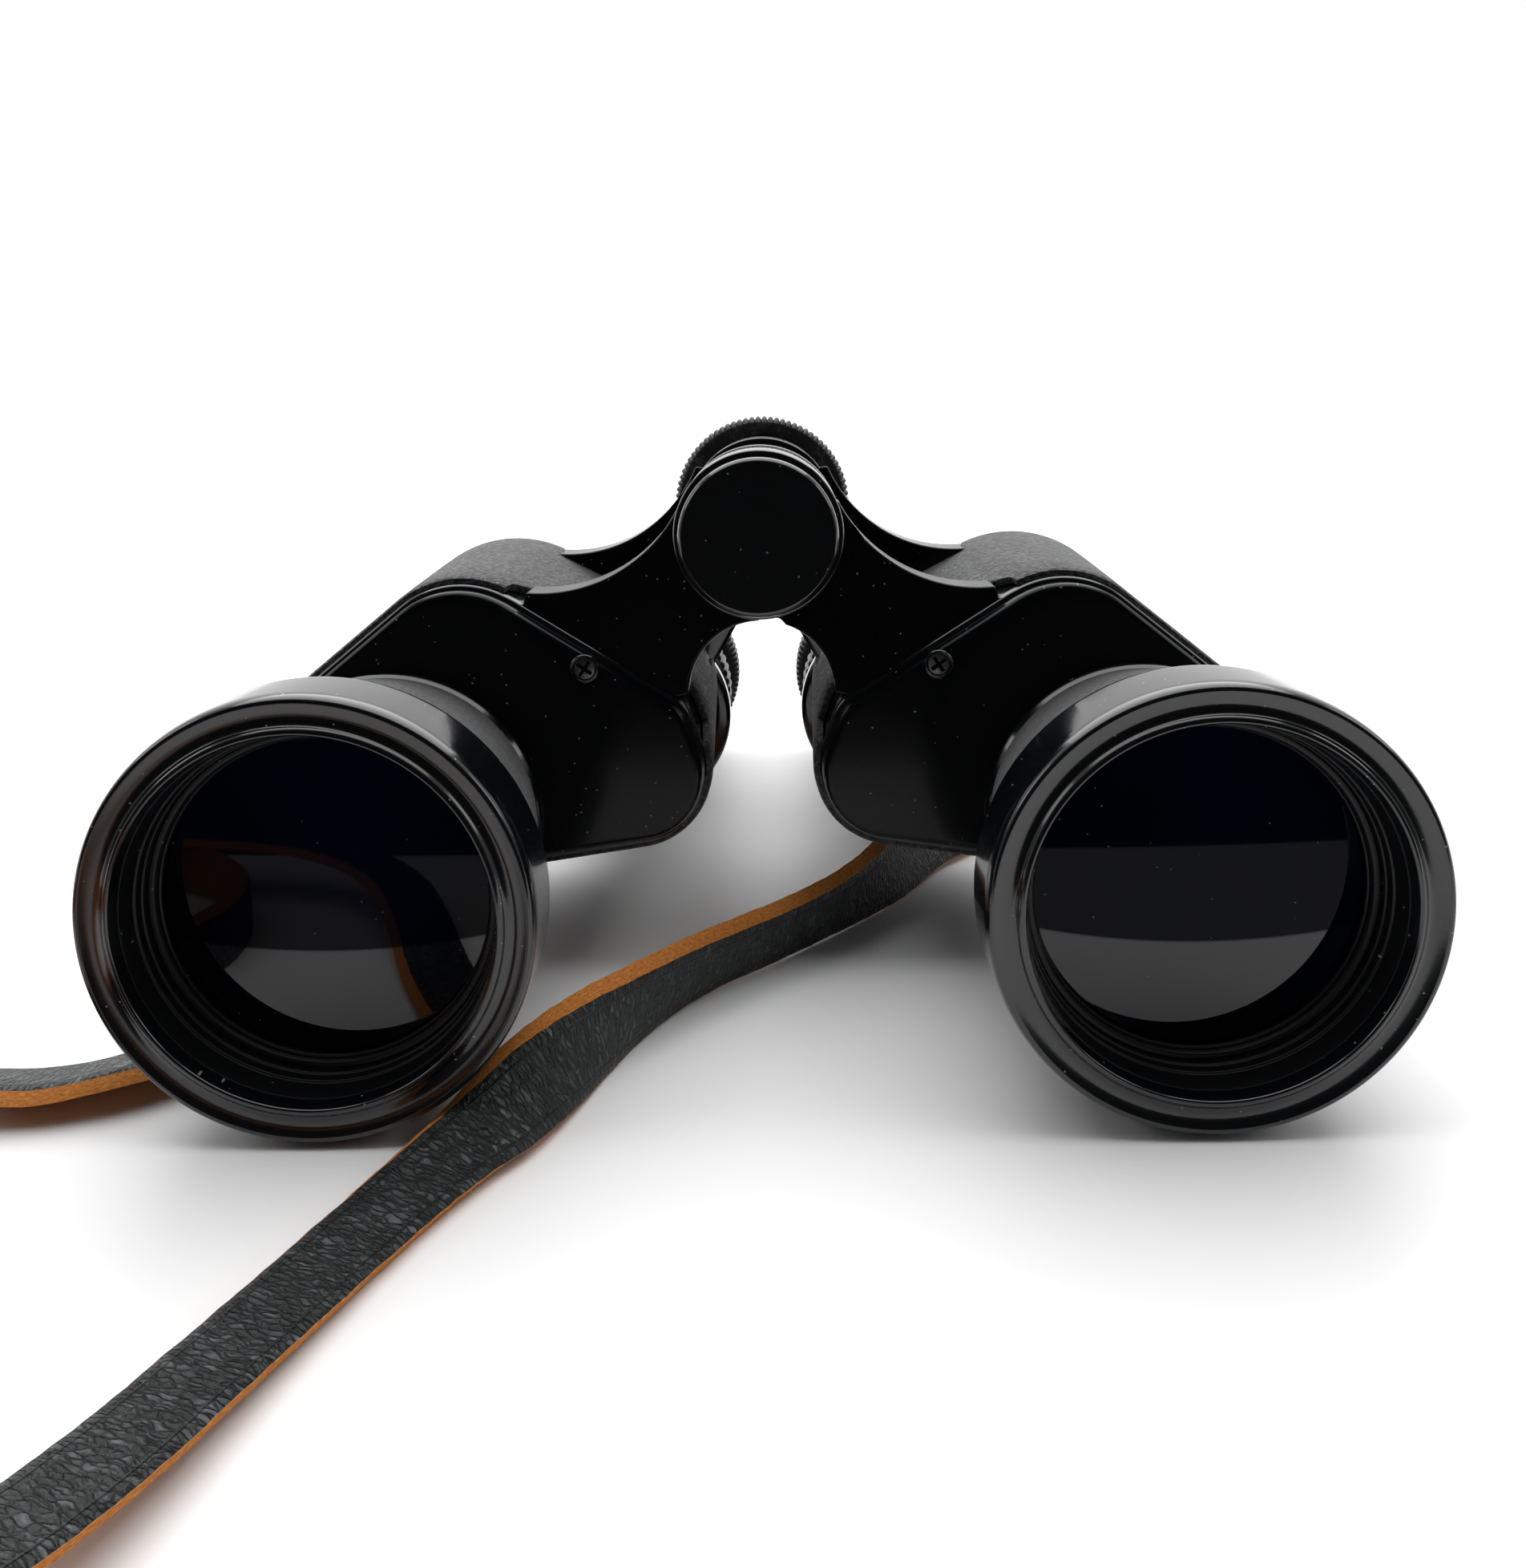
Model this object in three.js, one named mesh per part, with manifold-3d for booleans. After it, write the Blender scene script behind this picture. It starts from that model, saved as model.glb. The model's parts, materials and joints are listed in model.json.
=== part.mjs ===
// Prism binoculars with centre focusing, in millimetres. Two barrels turn on one hinge. Each holds an
// objective lens, two right-angle prisms and an eyepiece. A wheel on the hinge moves both eyepieces.
// The barrels are drawn with their optical axes along Y: objectives at y = 0, eyecups behind, hinge at
// x = 0, and z = 0 under the objective rims. The last group tips them back until they stand on a table.
import * as THREE from "three";
import { ConvexGeometry } from "three/addons/geometries/ConvexGeometry.js";
import { mergeVertices } from "three/addons/utils/BufferGeometryUtils.js";
import Module from "manifold-3d";

const wasm = await Module();
wasm.setup();

// Driving dimensions.
const GAP = 0.3; // between touching pieces
const HINGE_Z = 80.8; // hinge axis above the underside of the rims
const OBJECTIVE = { x: 63, z: 32.2 }; // optical axis of the right objective
const EYEPIECE = { x: 27.6, z: 34.8 }; // optical axis of the right eyepiece
const RIM_R = 32.2;
const HOOD_BACK = 14; // the lacquered hood ends here
const TUBE_FRONT_R = 30.6;
const TUBE_BACK_R = 24.6;
const COVER_FRONT = 46.4; // front cover plate
const BODY_FRONT = 49;
const BODY_BACK = 90;
const COVER_BACK = 93; // rear cover plate
const WALL = 2.2;
const SKIN = 0.9; // thickness of the pebbled covering
const COVERING = { front: 50.2, back: 88.8 }; // the covering's two edges on the body
const COVER_INSET = 0.6; // the covers are a little smaller than the body
const BARREL_LOBE_R = { front: 27, back: 25 }; // body round the objective axis
// The rest of the body's outline, as circles (x, z, radius) that a convex skin joins front to back.
const FRONT_LOBES = [
  [51, 56, 15.8],
  [26.6, 39.5, 17],
  [45, 39.5, 17],
  [63, 32.2, 22.2],
];
const BACK_LOBES = [
  [47.3, 52.7, 22],
  [28, 46.5, 21.2],
  [30, 36.5, 19.5],
  [63, 32.2, 22.2],
];
const ARM_ARCH = { z: 52.5, r: 12.5 }; // round cut-out under the hinge
const ARM_SWEEP = { x: 37, z: 96.6, r: 26.3 }; // hollow curve of an arm's top edge
const ARM_THICK = 8;
const ARM_TOP = { x: 13.5, z: 84.8 }; // the sweep meets the knuckle here
const STOP_TAB = { x0: 14.4, x1: 17.6, z0: 77, z1: 88.6, thick: 6 }; // beside the right front knuckle
const KNUCKLE_R = 13.7;
const AXLE_R = 4.5;
const AXLE_BACK = 101.8;
const SPINDLE_R = 3;
const CAP = { front: 34.2, back: 38, r: 12.75 };
const WHEEL = { front: 92.5, back: 101, r: 17.3, teeth: 40 };
const BRIDGE_FRONT = 106;
const BRIDGE_THICK = 4.8;
const BARREL_R = 16.6; // eyepiece barrel where the bridge holds it
const GRIP_RING = { front: 124, back: 135, r: 19.4, teeth: 30 };
const EYECUP = { front: 148.2, back: 168, r: 20.7 };
const PRISM = { end: 10, half: 10, depth: 20 }; // rounded ends, half the centre distance, apex height
const PRISM_MIDDLE = 69.5; // the two prisms meet back to back here
const LUG = { z: 38, thick: 3, front: 67, back: 85, reach: 97 }; // the strap's lug on the body's side
const STRAP = { width: 11.4, thick: 2.6 };
const STRAP_END = { halfWidth: 4, hole: 1.5, length: 17 }; // folded round the lug, seen from the front
const COIL = { x: -160, y: -130, inner: 51.5, outer: 60 }; // the strap's spare length, wound flat
const ROUND = 24; // sides of a large round piece
const SMALL = 16; // sides of a small one

// Colours and surfaces.
const finish = (color, roughness, metalness = 0) =>
  new THREE.MeshStandardMaterial({ color, roughness, metalness });
const ENAMEL = finish(0x0e1013, 0.28, 0.4);
const ANODISED = finish(0x0b0c0e, 0.45, 0.5);
const PEBBLED = finish(0x24272a, 0.7);
const GLASS = finish(0x1b2a4a, 0.05);
const STEEL = finish(0x8d8f90, 0.35, 1);
const BRASS = finish(0xa58443, 0.4, 1);
const RESIN = finish(0x101010, 0.4);
const LEATHER = finish(0x2d3032, 0.75);

// A closed solid from a geometry, and a geometry from a solid.
function solid(geometry) {
  const bare = geometry.index ? geometry.toNonIndexed() : geometry;
  const plain = new THREE.BufferGeometry();
  plain.setAttribute("position", bare.getAttribute("position"));
  const merged = mergeVertices(plain, 1e-4);
  const made = new wasm.Manifold(
    new wasm.Mesh({
      numProp: 3,
      vertProperties: merged.attributes.position.array,
      triVerts: new Uint32Array(merged.index.array),
    }),
  );
  if (made.volume() <= 0) throw new Error("a solid is inside out");
  return made;
}

function geometryOf(shape) {
  const mesh = shape.getMesh();
  return new THREE.BufferGeometry()
    .setAttribute("position", new THREE.BufferAttribute(new Float32Array(mesh.vertProperties), 3))
    .setIndex(new THREE.BufferAttribute(new Uint32Array(mesh.triVerts), 1));
}

const joined = (...solids) => solids.reduce((all, one) => all.add(one));
const cut = (body, ...tools) => tools.reduce((rest, tool) => rest.subtract(tool), body);

// A ring or disc round a Y axis at (x, z). The profile is a list of [radius, y]; a ring's profile closes.
function turned(profile, { x = 0, z = 0 } = {}, sides = ROUND) {
  const onAxis = profile[0][0] === 0;
  const loop = onAxis ? profile : [...profile, profile[0]];
  const area = loop.reduce((sum, [r, y], i) => {
    const [nextR, nextY] = loop[(i + 1) % loop.length];
    return sum + r * nextY - nextR * y;
  }, 0);
  const points = loop.map(([r, y]) => new THREE.Vector2(r, y));
  if (area < 0) points.reverse();
  return solid(new THREE.LatheGeometry(points, sides).translate(x, 0, z));
}

// A plain tube or rod along Y.
function rod(radius, front, back, at, sides = SMALL, bore = 0) {
  const profile = [
    [bore, front],
    [radius, front],
    [radius, back],
    [bore, back],
  ];
  return turned(profile, at, sides);
}

// An outline in X and Z, pulled along Y.
function plate(shape, front, back, curveSegments = 10) {
  const options = { depth: back - front, bevelEnabled: false, curveSegments };
  const pulled = new THREE.ExtrudeGeometry(shape, options);
  return solid(pulled.rotateX(Math.PI / 2).translate(0, back, 0));
}

function block(x0, x1, y0, y1, z0, z1) {
  const box = new THREE.BoxGeometry(x1 - x0, y1 - y0, z1 - z0);
  return solid(box.translate((x0 + x1) / 2, (y0 + y1) / 2, (z0 + z1) / 2));
}

const slab = (front, back) => block(-20, 120, front, back, -20, 120);

// Points of a circle in the plane y.
function ringOfPoints([x, z, r], y, count = 16) {
  return Array.from({ length: count }, (_, i) => {
    const angle = (i / count) * 2 * Math.PI;
    return new THREE.Vector3(x + r * Math.cos(angle), y, z + r * Math.sin(angle));
  });
}

// A plate with straight sides between round ends: the convex skin of circles (x, z, radius).
function linked(circles, front, back) {
  const points = circles.flatMap((c) => [...ringOfPoints(c, front), ...ringOfPoints(c, back)]);
  return solid(new ConvexGeometry(points));
}

// The body's whole outer form from front cover to rear cover, moved inwards by inset.
function bodyForm(inset) {
  const shrink = ([x, z, r]) => [x, z, r - inset];
  const front = FRONT_LOBES.flatMap((c) => ringOfPoints(shrink(c), COVER_FRONT));
  const back = BACK_LOBES.flatMap((c) => ringOfPoints(shrink(c), COVER_BACK));
  const lobe = turned(
    [
      [0, COVER_FRONT],
      [BARREL_LOBE_R.front - inset, COVER_FRONT],
      [BARREL_LOBE_R.back - inset, COVER_BACK],
      [0, COVER_BACK],
    ],
    OBJECTIVE,
  );
  return joined(solid(new ConvexGeometry([...front, ...back])), lobe);
}

const HINGE = { x: 0, z: HINGE_Z };
const COVER_SCREW = { x: 29.7, z: 57.8 };
const BACK_ARM_FRONT = BODY_BACK - ARM_THICK + 0.5;

// An arm reaches from the body to the hinge; near the hinge each side has half of the thickness.
function arm(front, takesFrontHalf) {
  const thick = front === BODY_FRONT + GAP ? ARM_THICK : BODY_BACK - front;
  const back = front + thick;
  const lap = front + thick / 2;
  const outline = new THREE.Shape();
  const { z, r } = ARM_ARCH;
  const sweepStart = -1.47; // radians; the sweep leaves the body almost level
  const sweepEnd = Math.atan2(ARM_TOP.z - ARM_SWEEP.z, ARM_TOP.x - ARM_SWEEP.x);
  outline.moveTo(GAP / 2, z + r);
  outline.absarc(0, z, r, Math.PI / 2, 0, true);
  outline.lineTo(24, 50);
  outline.lineTo(39.7, 60);
  outline.absarc(ARM_SWEEP.x, ARM_SWEEP.z, ARM_SWEEP.r, sweepStart, sweepEnd, true);
  outline.lineTo(GAP / 2, 88);
  const own = takesFrontHalf ? [front, lap - GAP / 2] : [lap + GAP / 2, back];
  const other = takesFrontHalf ? [lap - GAP / 2, back + 1] : [front - 1, lap + GAP / 2];
  const web = cut(plate(outline, front, back), rod(KNUCKLE_R + GAP, ...other, HINGE, ROUND));
  return joined(web, rod(KNUCKLE_R, ...own, HINGE, ROUND));
}

// The cast body of one half, with its two arms, the knuckles and the bosses for the cover screws.
function prismHousing(isLeft) {
  const shell = bodyForm(0).intersect(slab(BODY_FRONT, BODY_BACK));
  const cavity = bodyForm(WALL).intersect(slab(BODY_FRONT - 1, BODY_BACK + 1));
  const frontArm = arm(BODY_FRONT + GAP, isLeft);
  const backArm = arm(BACK_ARM_FRONT, !isLeft);
  const screwPost = rod(3.2, BODY_FRONT, BODY_FRONT + 12, COVER_SCREW);
  const screwHole = rod(1.4, BODY_FRONT - 1, BODY_FRONT + 13, COVER_SCREW);
  let body = cut(joined(shell, frontArm, backArm), cavity);
  if (isLeft) {
    body = joined(body, rod(KNUCKLE_R, CAP.back + GAP, BODY_FRONT + 1, HINGE, ROUND));
  } else {
    const { x0, x1, z0, z1, thick } = STOP_TAB;
    body = joined(body, block(x0, x1, BODY_FRONT + GAP, BODY_FRONT + thick, z0, z1));
  }
  body = joined(body, screwPost);
  return cut(body, screwHole, rod(AXLE_R + GAP, 30, 100, HINGE, SMALL));
}

// The pebbled covering round the body, notched where the arms leave it.
function housingLeatherette(isLeft) {
  const outside = bodyForm(-GAP - SKIN);
  const band = cut(outside.intersect(slab(COVERING.front, COVERING.back)), bodyForm(-GAP));
  const notch = (front, back) => block(-20, 40.2, front - GAP, back + GAP, 45, 120);
  return cut(
    band,
    notch(BODY_FRONT, BODY_FRONT + GAP + ARM_THICK),
    notch(BACK_ARM_FRONT, BODY_BACK),
    block(-20, 14, 0, 120, 50, 120),
  );
}

function frontCover() {
  const form = bodyForm(COVER_INSET).intersect(slab(COVER_FRONT, BODY_FRONT - GAP));
  const sinking = rod(2.4, COVER_FRONT - 1, COVER_FRONT + 1.4, COVER_SCREW);
  return cut(form, rod(22.4, 40, 60, OBJECTIVE, ROUND), sinking, rod(1.5, 40, 60, COVER_SCREW));
}

function rearCover() {
  const form = bodyForm(COVER_INSET).intersect(slab(BODY_BACK + GAP, COVER_BACK));
  return cut(form, rod(14.3, 80, 100, EYEPIECE, ROUND));
}

function coverScrew() {
  const head = rod(2.1, COVER_FRONT + 0.1, COVER_FRONT + 1.2, COVER_SCREW);
  const shank = rod(1.1, COVER_FRONT + 1, COVER_FRONT + 11, COVER_SCREW, 12);
  const y = COVER_FRONT;
  const { x, z } = COVER_SCREW;
  const slotWide = block(x - 1.4, x + 1.4, y - 1, y + 0.6, z - 0.3, z + 0.3);
  const slotTall = block(x - 0.3, x + 0.3, y - 1, y + 0.6, z - 1.4, z + 1.4);
  return cut(joined(head, shank), slotWide, slotTall);
}

// The conical tube from the hood to the body, with a neck that goes through the front cover.
const objectiveTube = () =>
  turned(
    [
      [TUBE_FRONT_R - SKIN - GAP, HOOD_BACK + GAP],
      [TUBE_BACK_R - SKIN - GAP, COVER_FRONT - GAP],
      [22, COVER_FRONT - GAP],
      [22, 48.8],
      [20.4, 48.8],
      [20.4, COVER_FRONT - 3],
      [28, HOOD_BACK + GAP],
    ],
    OBJECTIVE,
  );

const tubeLeatherette = () =>
  turned(
    [
      [TUBE_FRONT_R - SKIN, HOOD_BACK + GAP],
      [TUBE_FRONT_R, HOOD_BACK + GAP],
      [TUBE_BACK_R, COVER_FRONT - GAP],
      [TUBE_BACK_R - SKIN, COVER_FRONT - GAP],
    ],
    OBJECTIVE,
  );

// The hood: rounded rim, dished front ring, raised inner lip, stepped bore.
const objectiveHood = () =>
  turned(
    [
      [RIM_R, 2],
      [RIM_R - 0.1, HOOD_BACK - 1],
      [RIM_R - 0.9, HOOD_BACK],
      [27.2, HOOD_BACK],
      [27.2, 10.6],
      [25.4, 10.6],
      [25.8, 5],
      [25.9, 0.8],
      [26.5, 0.1],
      [27.3, 0.8],
      [29.9, 0.7],
      [RIM_R - 1.7, 0],
      [RIM_R - 0.5, 0.6],
    ],
    OBJECTIVE,
  );

const lensCell = () => rod(25.9, 11.9, 22, OBJECTIVE, ROUND, 24.9);
const retainingRing = () => rod(25, 9.6, 11.6, OBJECTIVE, ROUND, 24);

const objectiveLens = () =>
  turned(
    [
      [0, 10.4],
      [12, 10.8],
      [24.6, 12.2],
      [24.6, 19],
      [12, 20.2],
      [0, 20.6],
    ],
    OBJECTIVE,
  );

// A right-angle prism with rounded ends. along is its long direction, apex is -1 forwards or 1 backwards.
function prism(centre, along, apex) {
  const reach = PRISM.half + PRISM.end;
  const flat = PRISM_MIDDLE + apex * 0.2;
  const tip = flat + apex * PRISM.depth;
  const ends = [-1, 1].map((way) => [
    centre.x + way * PRISM.half * along.x,
    centre.z + way * PRISM.half * along.z,
    PRISM.end,
  ]);
  const stadium = linked(ends, Math.min(flat, tip), Math.max(flat, tip));
  const across = new THREE.Vector3(-along.z, 0, along.x).multiplyScalar(PRISM.end + 1);
  const corner = (way, y) =>
    new THREE.Vector3(centre.x + way * reach * along.x, y, centre.z + way * reach * along.z);
  const section = [
    corner(-1, flat - apex),
    corner(1, flat - apex),
    corner(1, flat),
    corner(-1, flat),
    corner(0.06, tip),
    corner(-0.06, tip),
  ];
  const wedge = section.flatMap((p) => [p.clone().add(across), p.clone().sub(across)]);
  return stadium.intersect(solid(new ConvexGeometry(wedge)));
}

// Two prisms at right angles carry the light from the objective axis to the eyepiece axis.
const shift = { x: EYEPIECE.x - OBJECTIVE.x, z: EYEPIECE.z - OBJECTIVE.z };
const firstStep = { x: (shift.x + shift.z) / 2, z: (shift.z - shift.x) / 2 };
const stepLength = Math.hypot(firstStep.x, firstStep.z);
const turning = { x: OBJECTIVE.x + firstStep.x, z: OBJECTIVE.z + firstStep.z };
const middle = (a, b) => ({ x: (a.x + b.x) / 2, z: (a.z + b.z) / 2 });
const rearAlong = { x: firstStep.x / stepLength, z: firstStep.z / stepLength };
const frontAlong = { x: rearAlong.z, z: -rearAlong.x };
const rearPrism = () => prism(middle(OBJECTIVE, turning), rearAlong, 1);
const frontPrism = () => prism(middle(turning, EYEPIECE), frontAlong, -1);

// The seat that holds both prisms in the body, open where the light passes.
function prismSeat() {
  const sheet = bodyForm(WALL + GAP).intersect(slab(PRISM_MIDDLE - 2.5, PRISM_MIDDLE + 2.5));
  const opening = (centre, along, front, back) =>
    linked(
      [-1, 1].map((way) => [
        centre.x + way * PRISM.half * along.x,
        centre.z + way * PRISM.half * along.z,
        PRISM.end + GAP,
      ]),
      front,
      back,
    );
  return cut(
    sheet,
    opening(middle(turning, EYEPIECE), frontAlong, PRISM_MIDDLE - 4, PRISM_MIDDLE),
    opening(middle(OBJECTIVE, turning), rearAlong, PRISM_MIDDLE, PRISM_MIDDLE + 4),
    rod(8, 60, 80, OBJECTIVE),
    rod(8, 60, 80, EYEPIECE),
  );
}

const eyepieceGuide = () =>
  turned(
    [
      [12.7, 86],
      [13.6, 86],
      [13.6, COVER_BACK + GAP],
      [17, COVER_BACK + GAP],
      [17, 95.4],
      [15.4, 96],
      [15.4, 99],
      [12.7, 99],
    ],
    EYEPIECE,
    28,
  );

const eyepieceBarrel = () =>
  turned(
    [
      [11, 84],
      [12.3, 84],
      [12.3, 103.5],
      [BARREL_R, 103.5],
      [BARREL_R, 140],
      [18, 146],
      [14.9, 146],
      [14.9, 106],
      [11, 104.5],
    ],
    EYEPIECE,
    28,
  );

const ocularCell = () => rod(14.4, 129, 151.6, EYEPIECE, 24, 13.2);
const fieldLens = () =>
  turned(
    [
      [0, 130.5],
      [12.9, 132.6],
      [12.9, 136],
      [0, 136],
    ],
    EYEPIECE,
    24,
  );
const eyeLens = () =>
  turned(
    [
      [0, 145],
      [12.9, 145],
      [12.9, 148.2],
      [0, 150.6],
    ],
    EYEPIECE,
    24,
  );

const eyecup = () =>
  turned(
    [
      [14.8, EYECUP.front],
      [19.4, EYECUP.front],
      [EYECUP.r, EYECUP.front + 1.4],
      [EYECUP.r, EYECUP.front + 7],
      [19.2, EYECUP.front + 8.4],
      [18.6, EYECUP.back],
      [16.8, EYECUP.back],
      [14.8, 153],
    ],
    EYEPIECE,
    28,
  );

// A star-shaped outline for a grip that fingers turn.
function knurled(radius, teeth, depth, front, back, at, bore) {
  const outline = new THREE.Shape();
  for (let i = 0; i < 2 * teeth; i++) {
    const angle = (i * Math.PI) / teeth;
    const r = i % 2 ? radius - depth : radius;
    outline[i ? "lineTo" : "moveTo"](at.x + r * Math.cos(angle), at.z + r * Math.sin(angle));
  }
  return cut(plate(outline, front, back), rod(bore, front - 1, back + 1, at, 28));
}

const gripRing = () => {
  const { r, teeth, front, back } = GRIP_RING;
  return knurled(r, teeth, 0.6, front, back, EYEPIECE, BARREL_R + GAP);
};

// One arm of the eyepiece bridge, from the spindle to a ring round the barrel.
function bridgeArm(front) {
  const back = front + BRIDGE_THICK;
  const beam = linked(
    [
      [HINGE.x, HINGE.z, 8.2],
      [EYEPIECE.x, EYEPIECE.z, 9],
    ],
    front,
    back,
  );
  const ring = rod(BARREL_R + 3.4, front, back, EYEPIECE, 28);
  const holes = [rod(BARREL_R + GAP, 90, 130, EYEPIECE, 28), rod(SPINDLE_R + GAP, 90, 130, HINGE)];
  return cut(joined(beam, ring), ...holes);
}

// A flat lug with a slot for the strap, shaped to the body's side.
function strapLug() {
  const { z, thick, front, back, reach } = LUG;
  const tab = block(70, reach, front, back, z - thick / 2, z + thick / 2);
  const pad = block(70, 90, front, back, z - 5, z + 5);
  const slot = block(reach - 6.2, reach - 2.2, front + 2.6, back - 2.6, z - 9, z + 9);
  return cut(joined(tab, pad), bodyForm(-SKIN - 2 * GAP), slot);
}

// The strap's end, doubled round the lug's outer bar and stitched together below it.
function strapEnd() {
  const { z, front, back, reach } = LUG;
  const { halfWidth, hole, length } = STRAP_END;
  const centre = reach - 1.1; // middle of the lug's outer bar
  const top = z + 3;
  const low = top - length;
  const outline = new THREE.Shape();
  outline.moveTo(centre - STRAP.thick, low);
  outline.lineTo(centre + STRAP.thick, low);
  outline.lineTo(centre + halfWidth, low + 6);
  outline.lineTo(centre + halfWidth, top);
  outline.absarc(centre, top, halfWidth, 0, Math.PI);
  outline.lineTo(centre - halfWidth, low + 6);
  const eye = new THREE.Path();
  eye.absarc(centre, top - 0.4, hole, Math.PI, 0, true);
  eye.lineTo(centre + hole, low + 9);
  eye.lineTo(centre, low + 6);
  eye.lineTo(centre - hole, low + 9);
  outline.holes.push(eye);
  const spare = (back - front - STRAP.width) / 2;
  return plate(outline, front + spare, back - spare, 4);
}

function named(name, made, material) {
  const mesh = new THREE.Mesh(geometryOf(made), material);
  mesh.name = name;
  return mesh;
}

// One half. It is drawn as the right half, and the left one is mirrored.
function half(side) {
  const isLeft = side === "left";
  const group = new THREE.Group();
  group.scale.x = isLeft ? -1 : 1;
  const pieces = [
    ["prism_housing", prismHousing(isLeft), ENAMEL],
    ["housing_leatherette", housingLeatherette(isLeft), PEBBLED],
    ["front_cover", frontCover(), ENAMEL],
    ["rear_cover", rearCover(), ENAMEL],
    ["cover_screw", coverScrew(), STEEL],
    ["objective_tube", objectiveTube(), ENAMEL],
    ["tube_leatherette", tubeLeatherette(), PEBBLED],
    ["objective_hood", objectiveHood(), ENAMEL],
    ["objective_cell", lensCell(), ANODISED],
    ["objective_retaining_ring", retainingRing(), ANODISED],
    ["objective_lens", objectiveLens(), GLASS],
    ["rear_prism", rearPrism(), GLASS],
    ["front_prism", frontPrism(), GLASS],
    ["prism_seat", prismSeat(), ANODISED],
    ["eyepiece_guide", eyepieceGuide(), ENAMEL],
    ["eyepiece_barrel", eyepieceBarrel(), ANODISED],
    ["bridge_arm", bridgeArm(BRIDGE_FRONT + (isLeft ? 0 : BRIDGE_THICK + GAP)), ENAMEL],
    [isLeft ? "barrel_ring" : "dioptre_ring", gripRing(), ANODISED],
    ["ocular_cell", ocularCell(), ANODISED],
    ["field_lens", fieldLens(), GLASS],
    ["eye_lens", eyeLens(), GLASS],
    ["eyecup", eyecup(), RESIN],
    ["strap_lug", strapLug(), ENAMEL],
    ["strap_end", strapEnd(), LEATHER],
  ];
  for (const [name, made, material] of pieces) group.add(named(`${side}_${name}`, made, material));
  return group;
}

// The hinge and the focusing gear on it.
function hinge() {
  const group = new THREE.Group();
  const cap = turned(
    [
      [0, CAP.front],
      [CAP.r - 0.7, CAP.front],
      [CAP.r, CAP.front + 0.8],
      [CAP.r, CAP.back],
      [0, CAP.back],
    ],
    HINGE,
  );
  const sleeveFront = BODY_FRONT + GAP + ARM_THICK + GAP;
  const wheel = knurled(WHEEL.r, WHEEL.teeth, 0.8, WHEEL.front, WHEEL.back, HINGE, AXLE_R + GAP);
  const spindleBack = BRIDGE_FRONT + 2 * BRIDGE_THICK + GAP + 2;
  group.add(
    named("hinge_cap", cap, ENAMEL),
    named("hinge_axle", rod(AXLE_R, CAP.back + GAP, AXLE_BACK, HINGE, SMALL, SPINDLE_R + GAP), BRASS),
    named("hinge_sleeve", rod(8, sleeveFront, BACK_ARM_FRONT - GAP, HINGE, 24, AXLE_R + GAP), ENAMEL),
    named("focus_wheel", wheel, ANODISED),
    named("focus_spindle", rod(SPINDLE_R, 62, spindleBack, HINGE, 16), BRASS),
    named("bridge_screw", rod(6, spindleBack + GAP, spindleBack + 3, HINGE), STEEL),
  );
  return group;
}

// A run of the strap along a smooth line through the given points, on the table's own axes. size is how
// far it reaches [up, across].
function strapRun(points, steps, [up, across]) {
  const section = new THREE.Shape();
  const corner = 0.35 * Math.min(up, across);
  const [x, y] = [up / 2, across / 2];
  section.moveTo(x, y - corner);
  section.lineTo(x - corner, y);
  section.lineTo(corner - x, y);
  section.lineTo(-x, y - corner);
  section.lineTo(-x, corner - y);
  section.lineTo(corner - x, -y);
  section.lineTo(x - corner, -y);
  section.lineTo(x, corner - y);
  const extrudePath = new THREE.CatmullRomCurve3(points.map((p) => new THREE.Vector3(...p)));
  return solid(new THREE.ExtrudeGeometry(section, { steps, extrudePath }));
}

// The neck strap lies on the table. It leaves the left lug, is wound up beside the binoculars, passes
// in front of the left hood and between the halves, and comes back behind the right one to its lug.
function strap() {
  const flat = [STRAP.thick, STRAP.width];
  const onEdge = [STRAP.width, STRAP.thick];
  const low = STRAP.thick / 2 + 0.05;
  const high = STRAP.width / 2 + 0.05;
  const leftRun = [
    [-130.4, -71.5, low],
    [-112, -72, low],
    [-98, -68, low],
    [-88, -58, low],
    [-89, -43, low + 0.5],
    [-96, -30, 3.4],
    [-99, -20, 8.5],
    [-98.3, -9, 16.4],
  ];
  const frontRun = [
    [-112.2, -172.5, low],
    [-94, -172.5, low],
    [-79, -160, low],
    [-68.2, -140.5, low],
    [-50.3, -105, low],
    [-40, -88, low],
    [-32, -76.6, low],
  ];
  const edgeRun = [
    [-31.6, -75.9, high],
    [-15, -49, high],
    [5.7, -24.5, high],
    [19, -9.5, high],
  ];
  const backRun = [
    [21.4, -6.6, low],
    [32, 10, low],
    [50, 26, low],
    [74, 33, low],
    [94, 25, low + 0.5],
    [101, 11, 3.4],
    [100.5, 2, 8.5],
    [98.6, -6.5, 16.2],
  ];
  const { inner, outer } = COIL;
  const ring = [
    [inner, 0.05],
    [outer, 0.05],
    [outer, 0.05 + STRAP.width],
    [inner, 0.05 + STRAP.width],
    [inner, 0.05],
  ].map(([r, z]) => new THREE.Vector2(r, z));
  const coil = new THREE.LatheGeometry(ring, 40).rotateX(Math.PI / 2);
  const group = new THREE.Group();
  group.add(
    named("strap_left_run", strapRun(leftRun, 22, flat), LEATHER),
    named("strap_front_run", strapRun(frontRun, 16, flat), LEATHER),
    named("strap_edge_run", strapRun(edgeRun, 9, onEdge), LEATHER),
    named("strap_back_run", strapRun(backRun, 24, flat), LEATHER),
    named("strap_coil", solid(coil.translate(COIL.x, COIL.y, 0)), LEATHER),
  );
  return group;
}

const binoculars = new THREE.Group();
binoculars.add(half("left"), half("right"), hinge());

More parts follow.
